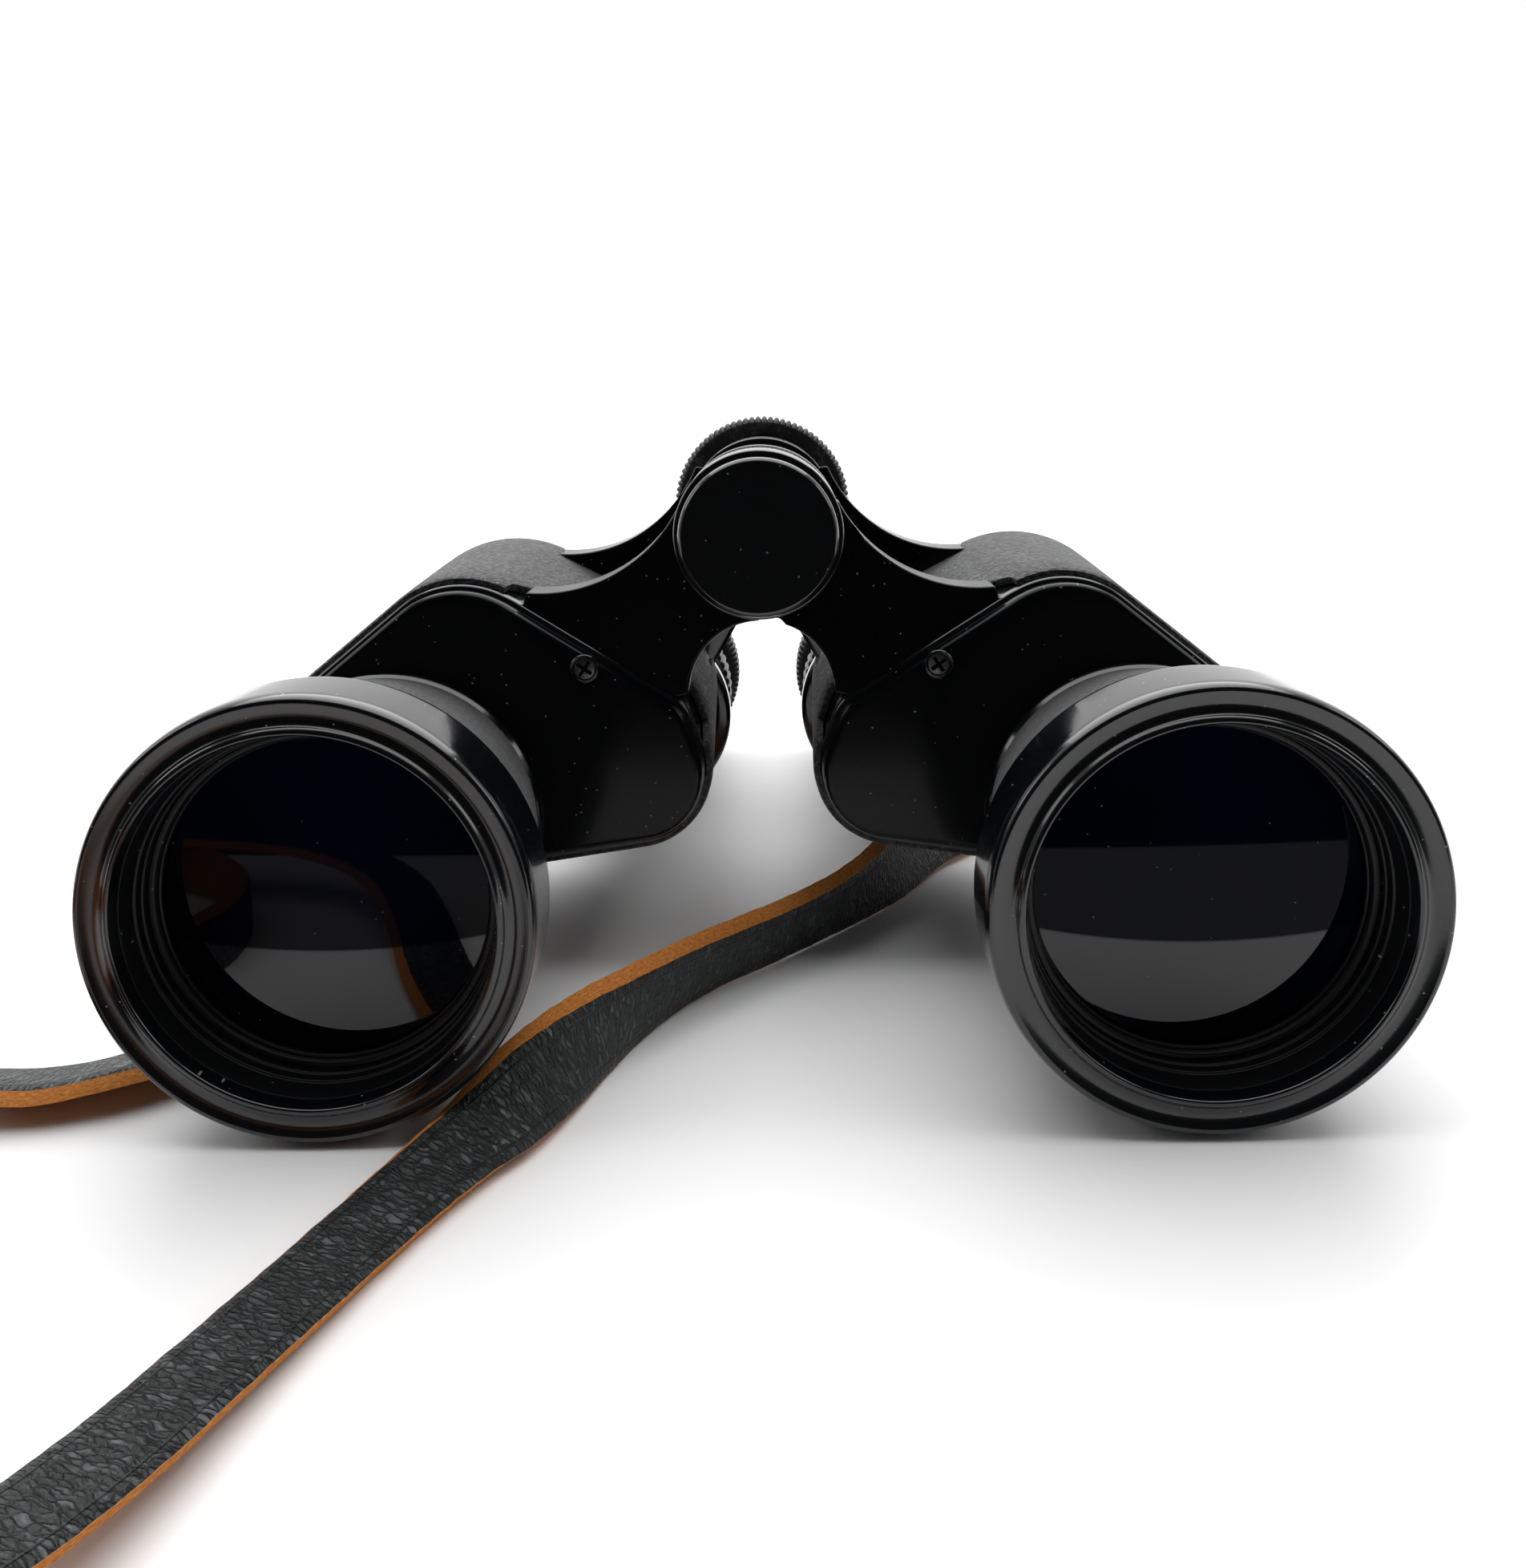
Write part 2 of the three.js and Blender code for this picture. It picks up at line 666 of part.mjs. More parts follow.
// They rest on the back edges of both hoods and of both bodies' coverings, so they lean back a little.
const lobeSlope = (BARREL_LOBE_R.back - BARREL_LOBE_R.front) / (COVER_BACK - COVER_FRONT);
const coveringR = BARREL_LOBE_R.front + lobeSlope * (COVERING.back - COVER_FRONT) + GAP + SKIN;
const restFront = { y: HOOD_BACK - 1, z: OBJECTIVE.z - RIM_R + 0.1 };
const restBack = { y: COVERING.back, z: OBJECTIVE.z - coveringR };
binoculars.rotation.x = -Math.atan2(restBack.z - restFront.z, restBack.y - restFront.y);
const stand = new THREE.Group();
stand.add(binoculars);
const footprint = new THREE.Box3().setFromObject(stand, true);
const centre = footprint.getCenter(new THREE.Vector3());
binoculars.position.set(-centre.x, -centre.y, -footprint.min.z);
stand.add(strap());

export default stand;
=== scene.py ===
"""Looks for a pair of prism binoculars that stand on a pale table with their neck strap.

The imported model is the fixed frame. Every piece here is a fine surface that takes the place of one or more
of its solids, rides on the same body, and is worked out with numpy from the maker's own sizes.
"""

import json
import logging
import math
from dataclasses import dataclass, field
from enum import Enum
from typing import Dict, Optional, Sequence, Tuple

import bmesh
import bpy
import numpy as np
from mathutils import Matrix

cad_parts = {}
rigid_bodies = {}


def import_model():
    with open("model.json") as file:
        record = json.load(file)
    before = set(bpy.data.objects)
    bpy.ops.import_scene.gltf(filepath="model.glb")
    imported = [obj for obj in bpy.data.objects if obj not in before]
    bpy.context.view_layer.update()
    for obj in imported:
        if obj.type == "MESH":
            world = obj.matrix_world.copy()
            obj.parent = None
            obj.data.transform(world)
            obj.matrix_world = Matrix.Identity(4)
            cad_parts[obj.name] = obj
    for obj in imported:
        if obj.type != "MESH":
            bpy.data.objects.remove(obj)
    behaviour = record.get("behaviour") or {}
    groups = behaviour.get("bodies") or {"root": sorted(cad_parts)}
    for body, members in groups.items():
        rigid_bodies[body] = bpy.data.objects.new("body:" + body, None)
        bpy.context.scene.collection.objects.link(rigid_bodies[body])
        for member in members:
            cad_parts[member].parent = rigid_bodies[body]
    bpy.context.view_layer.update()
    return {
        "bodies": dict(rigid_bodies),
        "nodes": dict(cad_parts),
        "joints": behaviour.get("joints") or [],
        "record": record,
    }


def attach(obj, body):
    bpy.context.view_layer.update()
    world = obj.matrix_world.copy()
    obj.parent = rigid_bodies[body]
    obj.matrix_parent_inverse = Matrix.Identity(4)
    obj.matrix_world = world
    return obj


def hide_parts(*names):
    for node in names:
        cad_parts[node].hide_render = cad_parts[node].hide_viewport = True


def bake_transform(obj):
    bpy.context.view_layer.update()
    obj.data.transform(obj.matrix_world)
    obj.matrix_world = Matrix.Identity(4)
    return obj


LOG = logging.getLogger("binoculars")
MM = 0.001
TURN = 2 * math.pi
HINGE = (0.0, 60.0, 80.8)  # a point of the hinge's line on the barrels' own axes

Circle = Tuple[float, float, float]  # x, z and radius


class Side(Enum):
    """The two halves, with the sign of their x."""

    LEFT = -1
    RIGHT = 1

    @property
    def word(self) -> str:
        """The side's name in a node's name."""
        return self.name.lower()


class Body(Enum):
    """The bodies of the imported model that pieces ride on."""

    LEFT_HALF = "left_half"
    RIGHT_HALF = "right_half"
    WHEEL = "focus_wheel"
    LEFT_EYEPIECE = "left_eyepiece"
    RIGHT_EYEPIECE = "right_eyepiece"
    DIOPTRE = "dioptre_ring"
    RIGHT_OCULAR = "right_ocular"


# ---------------------------------------------------------------- shapes


def smooth(value: np.ndarray) -> np.ndarray:
    """The smooth step 3t^2 - 2t^3 of t clipped to 0..1."""
    t = np.clip(value, 0.0, 1.0)
    return t * t * (3 - 2 * t)


def softened(corners: Sequence[Sequence[float]], steps: int = 5, closed: bool = True) -> np.ndarray:
    """Rounds the corners of a profile.

    A corner c with reach d becomes the curve (1-t)^2 a + 2t(1-t) c + t^2 b, where a and b lie d before and
    after it on its two sides, and never past a side's middle.

    Args:
        corners: one (radius, y, reach) for each corner.
        steps: points on each corner's curve.
        closed: whether the profile joins its own start.

    Returns:
        The points as an array of (radius, y).
    """
    table = np.asarray(corners, float)
    point, reach = table[:, :2], table[:, 2]
    before = np.roll(point, 1, axis=0) - point
    after = np.roll(point, -1, axis=0) - point
    gap_before = np.maximum(np.linalg.norm(before, axis=1), 1e-9)
    gap_after = np.maximum(np.linalg.norm(after, axis=1), 1e-9)
    if not closed:
        reach = reach.copy()
        reach[[0, -1]] = 0.0
    start = point + before * (np.minimum(reach, 0.48 * gap_before) / gap_before)[:, None]
    end = point + after * (np.minimum(reach, 0.48 * gap_after) / gap_after)[:, None]
    t = np.linspace(0.0, 1.0, steps)[None, :, None]
    curve = (1 - t) ** 2 * start[:, None] + 2 * t * (1 - t) * point[:, None] + t**2 * end[:, None]
    flat = curve.reshape(-1, 2)
    keep = np.r_[True, np.linalg.norm(np.diff(flat, axis=0), axis=1) > 1e-6]
    return flat[keep]


def grid_faces(rows: int, columns: int, wrap_rows: bool, wrap_columns: bool) -> np.ndarray:
    """The four-cornered faces of a grid of points.

    Args:
        rows: points along the first parameter.
        columns: points along the second parameter.
        wrap_rows: whether the last row joins the first.
        wrap_columns: whether the last column joins the first.

    Returns:
        Indices, one row of four for each face.
    """
    index = np.arange(rows * columns).reshape(rows, columns)
    if wrap_rows:
        index = np.vstack([index, index[:1]])
    if wrap_columns:
        index = np.hstack([index, index[:, :1]])
    return np.stack([index[:-1, :-1], index[1:, :-1], index[1:, 1:], index[:-1, 1:]], -1).reshape(-1, 4)


@dataclass(frozen=True)
class Surface:
    """A closed surface on the barrels' own axes, in millimetres: its points, faces and flat caps."""

    points: np.ndarray
    faces: np.ndarray
    caps: Tuple[Tuple[int, ...], ...] = ()

    def mirrored(self, side: Side) -> "Surface":
        """The same surface for one side: x times the side's sign."""
        return Surface(self.points * np.array([side.value, 1.0, 1.0]), self.faces, self.caps)


def turned(profile: np.ndarray, at: Tuple[float, float], sides: int = 128, closed: bool = True,
           teeth: int = 0, depth: float = 0.0, grip_from: float = 1e9) -> Surface:
    """A profile turned round a line along y.

    The point at angle a is (x + R cos a, y, z + R sin a). R is the profile's radius, less a tooth's depth
    times |sin(teeth a / 2)| to the power 0.7 where the radius is beyond grip_from.

    Args:
        profile: (radius, y) points.
        at: x and z of the line.
        sides: points round it.
        closed: whether the profile is a ring's; if not, it starts and ends on the line.
        teeth: how many teeth a knurled grip has.
        depth: how deep they are.
        grip_from: the radius past which they are cut.

    Returns:
        The surface.
    """
    angle = np.linspace(0.0, TURN, sides, endpoint=False)
    radius = np.repeat(profile[:, :1], sides, axis=1)
    tooth = np.abs(np.sin(teeth * angle / 2)) ** 0.7 if teeth else np.zeros(sides)
    radius = radius - depth * (1 - tooth)[None, :] * (profile[:, :1] > grip_from)
    x = at[0] + radius * np.cos(angle)
    z = at[1] + radius * np.sin(angle)
    y = np.repeat(profile[:, 1:], sides, axis=1)
    points = np.stack([x, y, z], -1).reshape(-1, 3)
    return Surface(points, grid_faces(len(profile), sides, closed, True))


def outline_plate(rings: Sequence[np.ndarray], levels: Sequence[float]) -> Surface:
    """A plate whose section changes from its front to its back: ring k stands at y = levels[k].

    Args:
        rings: outlines of (x, z) with the same count of points.
        levels: the y of each ring.

    Returns:
        The surface, with a flat cap at each end.
    """
    count = len(rings[0])
    stack = np.stack([np.column_stack([r[:, 0], np.full(count, y), r[:, 1]]) for r, y in zip(rings, levels)])
    last = (len(rings) - 1) * count
    caps = (tuple(range(count)), tuple(range(last, last + count)))
    return Surface(stack.reshape(-1, 3), grid_faces(len(rings), count, False, True), caps)


@dataclass(frozen=True)
class BodyForm:
    """A half's body: a straight skin between a front outline and a back outline, each round circles.

    The outline's point with outward direction u lies on the circle that reaches furthest along u, at its
    centre plus its radius times u. Moving the whole outline in by a distance takes it off every radius.
    """

    front_y: float = 46.4
    back_y: float = 93.0
    front: Tuple[Circle, ...] = (
        (51.0, 56.0, 15.8), (18.2, 46.2, 6.5), (21.8, 39.2, 12.2), (70.8, 37.5, 17.7))
    back: Tuple[Circle, ...] = (
        (48.0, 53.2, 21.3), (29.4, 46.4, 18.8), (31.4, 37.5, 18.2), (67.0, 35.6, 20.0))

    def around(self, circles: Tuple[Circle, ...], angle: np.ndarray, inset: np.ndarray) -> np.ndarray:
        """The outline round some circles.

        Args:
            circles: the circles that it goes round.
            angle: the outward angle at each of its points.
            inset: how far each point is moved in.

        Returns:
            The points as an array of (x, z).
        """
        table = np.array(circles)
        way = np.stack([np.cos(angle), np.sin(angle)], -1)
        furthest = (way @ table[:, :2].T + table[:, 2]).argmax(1)
        chosen = table[furthest]
        return chosen[:, :2] + (chosen[:, 2] - inset)[:, None] * way

    def section(self, y: np.ndarray, inset: np.ndarray, angle: np.ndarray) -> np.ndarray:
        """Points of the skin: the front outline's and the back one's, mixed by depth.

        Args:
            y: the depth of each point.
            inset: how far each is moved in.
            angle: its outward angle.

        Returns:
            The points as an array of (x, z).
        """
        share = ((y - self.front_y) / (self.back_y - self.front_y))[:, None]
        front = self.around(self.front, angle, inset)
        back = self.around(self.back, angle, inset)
        return front * (1 - share) + back * share

    def plate(self, levels: Sequence[Tuple[float, float]], count: int = 288) -> Surface:
        """A closed slice of the body.

        Args:
            levels: (y, inset) of each ring, from front to back.
            count: points round a ring.

        Returns:
            The slice's surface.
        """
        angle = np.linspace(0.0, TURN, count, endpoint=False)
        rings = [self.section(np.full(count, y), np.full(count, inset), angle) for y, inset in levels]
        return outline_plate(rings, [y for y, _ in levels])


@dataclass(frozen=True)
class Place:
    """Where the barrels' own axes are in the row frame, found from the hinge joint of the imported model."""

    origin: np.ndarray
    back: np.ndarray
    up: np.ndarray

    @classmethod
    def of_hinge(cls, joint: Dict) -> "Place":
        """Reads the place from the hinge.

        Args:
            joint: the hinge, whose axis points to the front and whose point is HINGE.

        Returns:
            The place of the barrels' axes.
        """
        back = -np.array(joint["axis"], float)
        back = back / np.linalg.norm(back)
        up = np.cross([1.0, 0.0, 0.0], back)
        origin = np.array(joint["pos_m"], float) - MM * (HINGE[1] * back + HINGE[2] * up)
        return cls(origin, back, up)

    def turn(self, vector: np.ndarray) -> np.ndarray:
        """A direction from the barrels' axes to the row frame."""
        v = np.atleast_2d(vector)
        return v[:, :1] * np.array([1.0, 0.0, 0.0]) + v[:, 1:2] * self.back + v[:, 2:3] * self.up

    def points(self, local: np.ndarray) -> np.ndarray:
        """Points in millimetres on the barrels' axes, in metres in the row frame."""
        return self.origin + MM * self.turn(local)


# ---------------------------------------------------------------- materials


class Value:
    """A shader socket in an expression: +, -, * and / add Math nodes."""

    def __init__(self, graph: "Graph", socket: bpy.types.NodeSocket) -> None:
        """Keeps the graph and the socket."""
        self.graph = graph
        self.socket = socket

    def _math(self, operation: str, *terms: "Term") -> "Value":
        """One Math node over the terms."""
        return self.graph.node("ShaderNodeMath", {"operation": operation}, dict(enumerate(terms)))

    def __add__(self, other: "Term") -> "Value":
        """self + other."""
        return self._math("ADD", self, other)

    __radd__ = __add__

    def __sub__(self, other: "Term") -> "Value":
        """self - other."""
        return self._math("SUBTRACT", self, other)

    def __rsub__(self, other: "Term") -> "Value":
        """other - self."""
        return self._math("SUBTRACT", other, self)

    def __mul__(self, other: "Term") -> "Value":
        """self * other."""
        return self._math("MULTIPLY", self, other)

    __rmul__ = __mul__

    def __truediv__(self, other: "Term") -> "Value":
        """self / other."""
        return self._math("DIVIDE", self, other)

    def above(self, edge: float, width: float) -> "Value":
        """0 below edge, 1 above edge + width, a straight ramp between."""
        return ((self - edge) / width).clipped()

    def clipped(self) -> "Value":
        """self kept to 0..1."""
        return self.graph.node("ShaderNodeClamp", {}, {"Value": self})

    def wave(self) -> "Value":
        """The sine of self."""
        return self._math("SINE", self)

    def size(self) -> "Value":
        """self without its sign."""
        return self._math("ABSOLUTE", self)

    def most(self, other: "Term") -> "Value":
        """The larger of two."""
        return self._math("MAXIMUM", self, other)


Term = float | int | Value | Tuple[float, ...]


class Graph:
    """The node tree of one material, with one Principled shader."""

    def __init__(self, name: str) -> None:
        """Makes an empty material with that name."""
        self.material = bpy.data.materials.new(name)
        self.material.use_nodes = True
        self.tree = self.material.node_tree
        self.tree.nodes.clear()
        self.output = self.tree.nodes.new("ShaderNodeOutputMaterial")
        self.shader = self.tree.nodes.new("ShaderNodeBsdfPrincipled")
        self.tree.links.new(self.shader.outputs[0], self.output.inputs[0])

    def node(self, kind: str, settings: Dict, inputs: Dict, output: int | str = 0) -> Value:
        """Adds one node.

        Args:
            kind: the node's type.
            settings: its properties, set first.
            inputs: values or sockets by input name or number.
            output: which output is wanted.

        Returns:
            That output.
        """
        made = self.tree.nodes.new(kind)
        for key, setting in settings.items():
            setattr(made, key, setting)
        for key, term in inputs.items():
            self._join(made.inputs[key], term)
        return Value(self, made.outputs[output])

    def _join(self, socket: bpy.types.NodeSocket, term: Term) -> None:
        """Gives a socket a link or a value.

        Args:
            socket: the socket to feed.
            term: another node's output, a number, or a colour or vector of numbers.
        """
        if isinstance(term, Value):
            self.tree.links.new(term.socket, socket)
        elif isinstance(term, tuple) and len(term) == 3 and socket.type == "RGBA":
            socket.default_value = (*term, 1.0)
        else:
            socket.default_value = term

    def set(self, **inputs: Term) -> None:
        """Feeds the shader's inputs, named with _ for spaces."""
        for key, term in inputs.items():
            self._join(self.shader.inputs[key.replace("_", " ")], term)

    def place(self) -> Value:
        """Object coordinates."""
        return self.node("ShaderNodeTexCoord", {}, {}, "Object")

    def stretched(self, vector: Value, scale: Tuple[float, float, float]) -> Value:
        """A vector scaled along each axis."""
        return self.node("ShaderNodeMapping", {}, {"Vector": vector, "Scale": scale})

    def noise(self, vector: Value, scale: float, detail: float = 3.0, rough: float = 0.5) -> Value:
        """Noise from 0 to 1 with so many features per metre."""
        return self.node("ShaderNodeTexNoise", {},
                         {"Vector": vector, "Scale": scale, "Detail": detail, "Roughness": rough})

    def cells(self, vector: Value, scale: float, feature: str = "F1", output: str = "Distance") -> Value:
        """Cells with so many per metre: the distance to the nearest centre, or its random colour."""
        return self.node("ShaderNodeTexVoronoi", {"feature": feature},
                         {"Vector": vector, "Scale": scale}, output)

    def mixed(self, share: Term, a: Term, b: Term) -> Value:
        """Colour a where share is 0 and b where it is 1."""
        return self.node("ShaderNodeMix", {"data_type": "RGBA"}, {0: share, 6: a, 7: b}, 2)

    def bump(self, height: Value, distance: float, strength: float = 1.0) -> Value:
        """A normal from a height in units of distance, in metres."""
        inputs: Dict = {"Height": height, "Distance": distance, "Strength": strength}
        return self.node("ShaderNodeBump", {}, inputs)

    def split(self, vector: Value, output: str) -> Value:
        """One part of a vector."""
        return self.node("ShaderNodeSeparateXYZ", {}, {0: vector}, output)

    def specks(self, vector: Value, scale: float, share: float, radius: float) -> Value:
        """Small round specks of dust, each in a cell of its own.

        Args:
            vector: where the pattern is read.
            scale: cells per metre.
            share: the share of cells with a speck.
            radius: a speck's radius, as a share of a cell.

        Returns:
            1 on a speck and 0 beside it.
        """
        distance = self.cells(vector, scale)
        chance = self.split(self.cells(vector, scale, output="Color"), "X")
        return (1 - distance.above(radius, radius * 0.6)) * chance.above(1 - share, 0.01)


@dataclass(frozen=True)
class Finish:
    """One finish: a name, the record's slot (None off the object), and a way to build its material."""

    name: str
    slot: Optional[str] = None

    def build(self) -> bpy.types.Material:
        """Makes the material."""
        graph = Graph(self.name)
        self.paint(graph)
        return graph.material

    def paint(self, graph: Graph) -> None:
        """Adds the nodes; each finish has its own."""
        raise NotImplementedError


@dataclass(frozen=True)
class Enamel(Finish):
    """Black stoved enamel: near black, a little blue, with wipe marks, fine scratches and dust.

    Shine and coat say how much the enamel and the lacquer over it reflect.
    """

    colour: Tuple[float, float, float] = (0.0022, 0.0027, 0.0036)
    roughness: float = 0.1
    dust: float = 0.06
    shine: float = 0.5
    coat: float = 0.35

    def paint(self, graph: Graph) -> None:
        """Colour with dust, roughness with wipe marks, and a faint orange-peel."""
        place = graph.place()
        specks = graph.specks(place, 1100.0, self.dust, 0.12)
        lint = graph.specks(graph.stretched(place, (1.0, 0.35, 1.3)), 700.0, self.dust * 0.5, 0.1)
        haze = graph.noise(place, 60.0, 4.0, 0.6)
        dusty = specks.most(lint) * 0.7
        film = haze.above(0.45, 0.4) * 0.006
        bare = graph.mixed(film, self.colour, (0.2, 0.2, 0.2))
        graph.set(Base_Color=graph.mixed(dusty, bare, (0.32, 0.31, 0.29)))
        wiped = graph.noise(graph.stretched(place, (1.0, 3.0, 1.0)), 140.0, 5.0, 0.65)
        graph.set(Roughness=self.roughness + wiped * 0.08 + dusty * 0.5)
        scratches = graph.noise(graph.stretched(place, (9.0, 1.0, 2.0)), 420.0, 2.0, 0.7)
        peel = graph.noise(place, 1500.0, 2.0)
        graph.set(Normal=graph.bump(peel * 0.6 + scratches.above(0.66, 0.1) * 0.5, 0.00002, 0.35))
        graph.set(Coat_Weight=self.coat, Coat_Roughness=0.08, IOR=1.5, Specular_IOR_Level=self.shine)


@dataclass(frozen=True)
class Pebbled(Finish):
    """Fine pebbled black covering: small round grains of uneven size, with a painted grey sheen on their tops.
    """

    grain: float = 1250.0

    def paint(self, graph: Graph) -> None:
        """Grains from two sizes of cells, painted paler on top as a sheen, with dust between them."""
        place = graph.place()
        bent = graph.node("ShaderNodeVectorMath", {"operation": "MULTIPLY_ADD"},
                          {0: graph.node("ShaderNodeTexNoise", {}, {"Vector": place, "Scale": 500.0}, "Color"),
                           1: (0.0006, 0.0006, 0.0006), 2: place})
        large = graph.cells(bent, self.grain, "SMOOTH_F1")
        small = graph.cells(bent, self.grain * 2.1)
        height = 1 - (large * 0.95 + small * 0.3)
        tops = height.above(0.35, 0.35)
        patches = graph.noise(place, 55.0, 3.0)
        dust = graph.specks(place, 1500.0, 0.1, 0.14)
        # painted sheen: the grains' tops are painted paler grey
        colour = graph.mixed(tops * 0.8, (0.008, 0.0085, 0.009), (0.04, 0.042, 0.045))
        colour = graph.mixed(patches.above(0.45, 0.3) * 0.15, colour, (0.09, 0.09, 0.09))
        graph.set(Base_Color=graph.mixed(dust * 0.6, colour, (0.35, 0.34, 0.31)))
        graph.set(Roughness=0.62 - tops * 0.2 + patches * 0.08)
        graph.set(Normal=graph.bump(height, 0.00035, 0.85))
        graph.set(Specular_IOR_Level=0.45, Sheen_Weight=0.15, Sheen_Roughness=0.5)


@dataclass(frozen=True)
class Anodised(Finish):
    """Satin black metal, turned, with fine lathe rings and paler worn spots."""

    roughness: float = 0.38

    def paint(self, graph: Graph) -> None:
        """Dark metal with fine rings across y and worn patches."""
        place = graph.place()
        wear = graph.noise(place, 260.0, 6.0, 0.7).above(0.6, 0.15)
        rings = (graph.split(place, "Y") * 9000.0).wave()
        dust = graph.specks(place, 1300.0, 0.12, 0.13)
        colour = graph.mixed(wear * 0.3, (0.012, 0.0125, 0.014), (0.09, 0.09, 0.09))
        graph.set(Base_Color=graph.mixed(dust * 0.6, colour, (0.3, 0.29, 0.27)))
        graph.set(Roughness=self.roughness + wear * 0.15 + dust * 0.3)
        graph.set(Normal=graph.bump(rings + wear * 0.5, 0.000008, 0.5), Metallic=0.25)


@dataclass(frozen=True)
class DustyGrip(Finish):
    """A matte black knurled grip whose grooves hold brown and grey dust."""

    def paint(self, graph: Graph) -> None:
        """Black resin with dust patches."""
        place = graph.place()
        patches = graph.noise(place, 420.0, 6.0, 0.75)
        fuzz = graph.noise(place, 2600.0, 3.0, 0.8)
        dust = patches.above(0.5, 0.2) * fuzz.above(0.45, 0.25)
        colour = graph.mixed(dust * 0.45, (0.01, 0.01, 0.0105), (0.21, 0.17, 0.14))
        graph.set(Base_Color=colour, Roughness=0.5 + dust * 0.4)
        graph.set(Normal=graph.bump(fuzz * 0.6 + dust, 0.00012, 0.8))


@dataclass(frozen=True)
class Resin(Finish):
    """Moulded black eyecup resin, semi-matte, with a faint brown bloom."""

    def paint(self, graph: Graph) -> None:
        """Near black with a bloom, rubbed smoother in patches."""
        place = graph.place()
        bloom = graph.noise(place, 90.0, 4.0, 0.6)
        colour = graph.mixed(bloom.above(0.45, 0.3) * 0.3, (0.009, 0.009, 0.0095), (0.03, 0.027, 0.024))
        dust = graph.specks(place, 1200.0, 0.07, 0.12)
        graph.set(Base_Color=graph.mixed(dust * 0.6, colour, (0.3, 0.29, 0.27)))
        graph.set(Roughness=0.3 + bloom * 0.22)
        graph.set(Normal=graph.bump(graph.noise(place, 1800.0, 3.0), 0.00002, 0.5))


@dataclass(frozen=True)
class CoatedGlass(Finish):
    """A coated lens over a blackened tube: near black with a deep blue cast, a little dust, and a painted
    reflection: a strong coat on its lower part only.
    """

    tint: Tuple[float, float, float] = (0.0012, 0.0028, 0.011)
    coated_above: float = 0.0236

    def paint(self, graph: Graph) -> None:
        """A polished dark surface with an uneven blue cast, and a coat that paints a reflection on its lower
        part only.
        """
        place = graph.place()
        cast = graph.noise(place, 26.0, 2.0)
        dust = graph.specks(place, 1000.0, 0.05, 0.09)
        colour = graph.mixed(cast.above(0.35, 0.35), (0.0008, 0.001, 0.002), self.tint)
        graph.set(Base_Color=graph.mixed(dust * 0.5, colour, (0.3, 0.31, 0.33)))
        graph.set(Roughness=0.03 + dust * 0.4, IOR=1.5, Specular_IOR_Level=0.06)
        # painted reflection: the coat is strong only below an almost level line, so that only the lens's lower
        # part mirrors the pale table
        graph.set(Coat_Weight=0.9 - 0.88 * self.bloom(graph, place), Coat_Roughness=0.02)

    def bloom(self, graph: Graph, place: Value) -> Value:
        """Where the painted reflection ends: 0 below an almost level line, where the strong coat mirrors the
        pale table, and 1 above it, where the coat is taken away.
        """
        bend = graph.split(place, "X").size() - 0.063
        return (graph.split(place, "Z") - bend * bend * 4.0).above(self.coated_above, 0.0004)


@dataclass(frozen=True)
class Metal(Finish):
    """Bare turned metal, dulled by handling."""

    colour: Tuple[float, float, float] = (0.5, 0.5, 0.5)
    roughness: float = 0.35

    def paint(self, graph: Graph) -> None:
        """Metal with tarnish and fine turning marks."""
        place = graph.place()
        tarnish = graph.noise(place, 400.0, 5.0, 0.7)
        dull = tuple(0.35 * c for c in self.colour)
        graph.set(Base_Color=graph.mixed(tarnish.above(0.35, 0.4), self.colour, dull), Metallic=1.0)
        graph.set(Roughness=self.roughness + tarnish * 0.25)
        graph.set(Normal=graph.bump((graph.split(place, "Y") * 12000.0).wave(), 0.00001, 0.4))


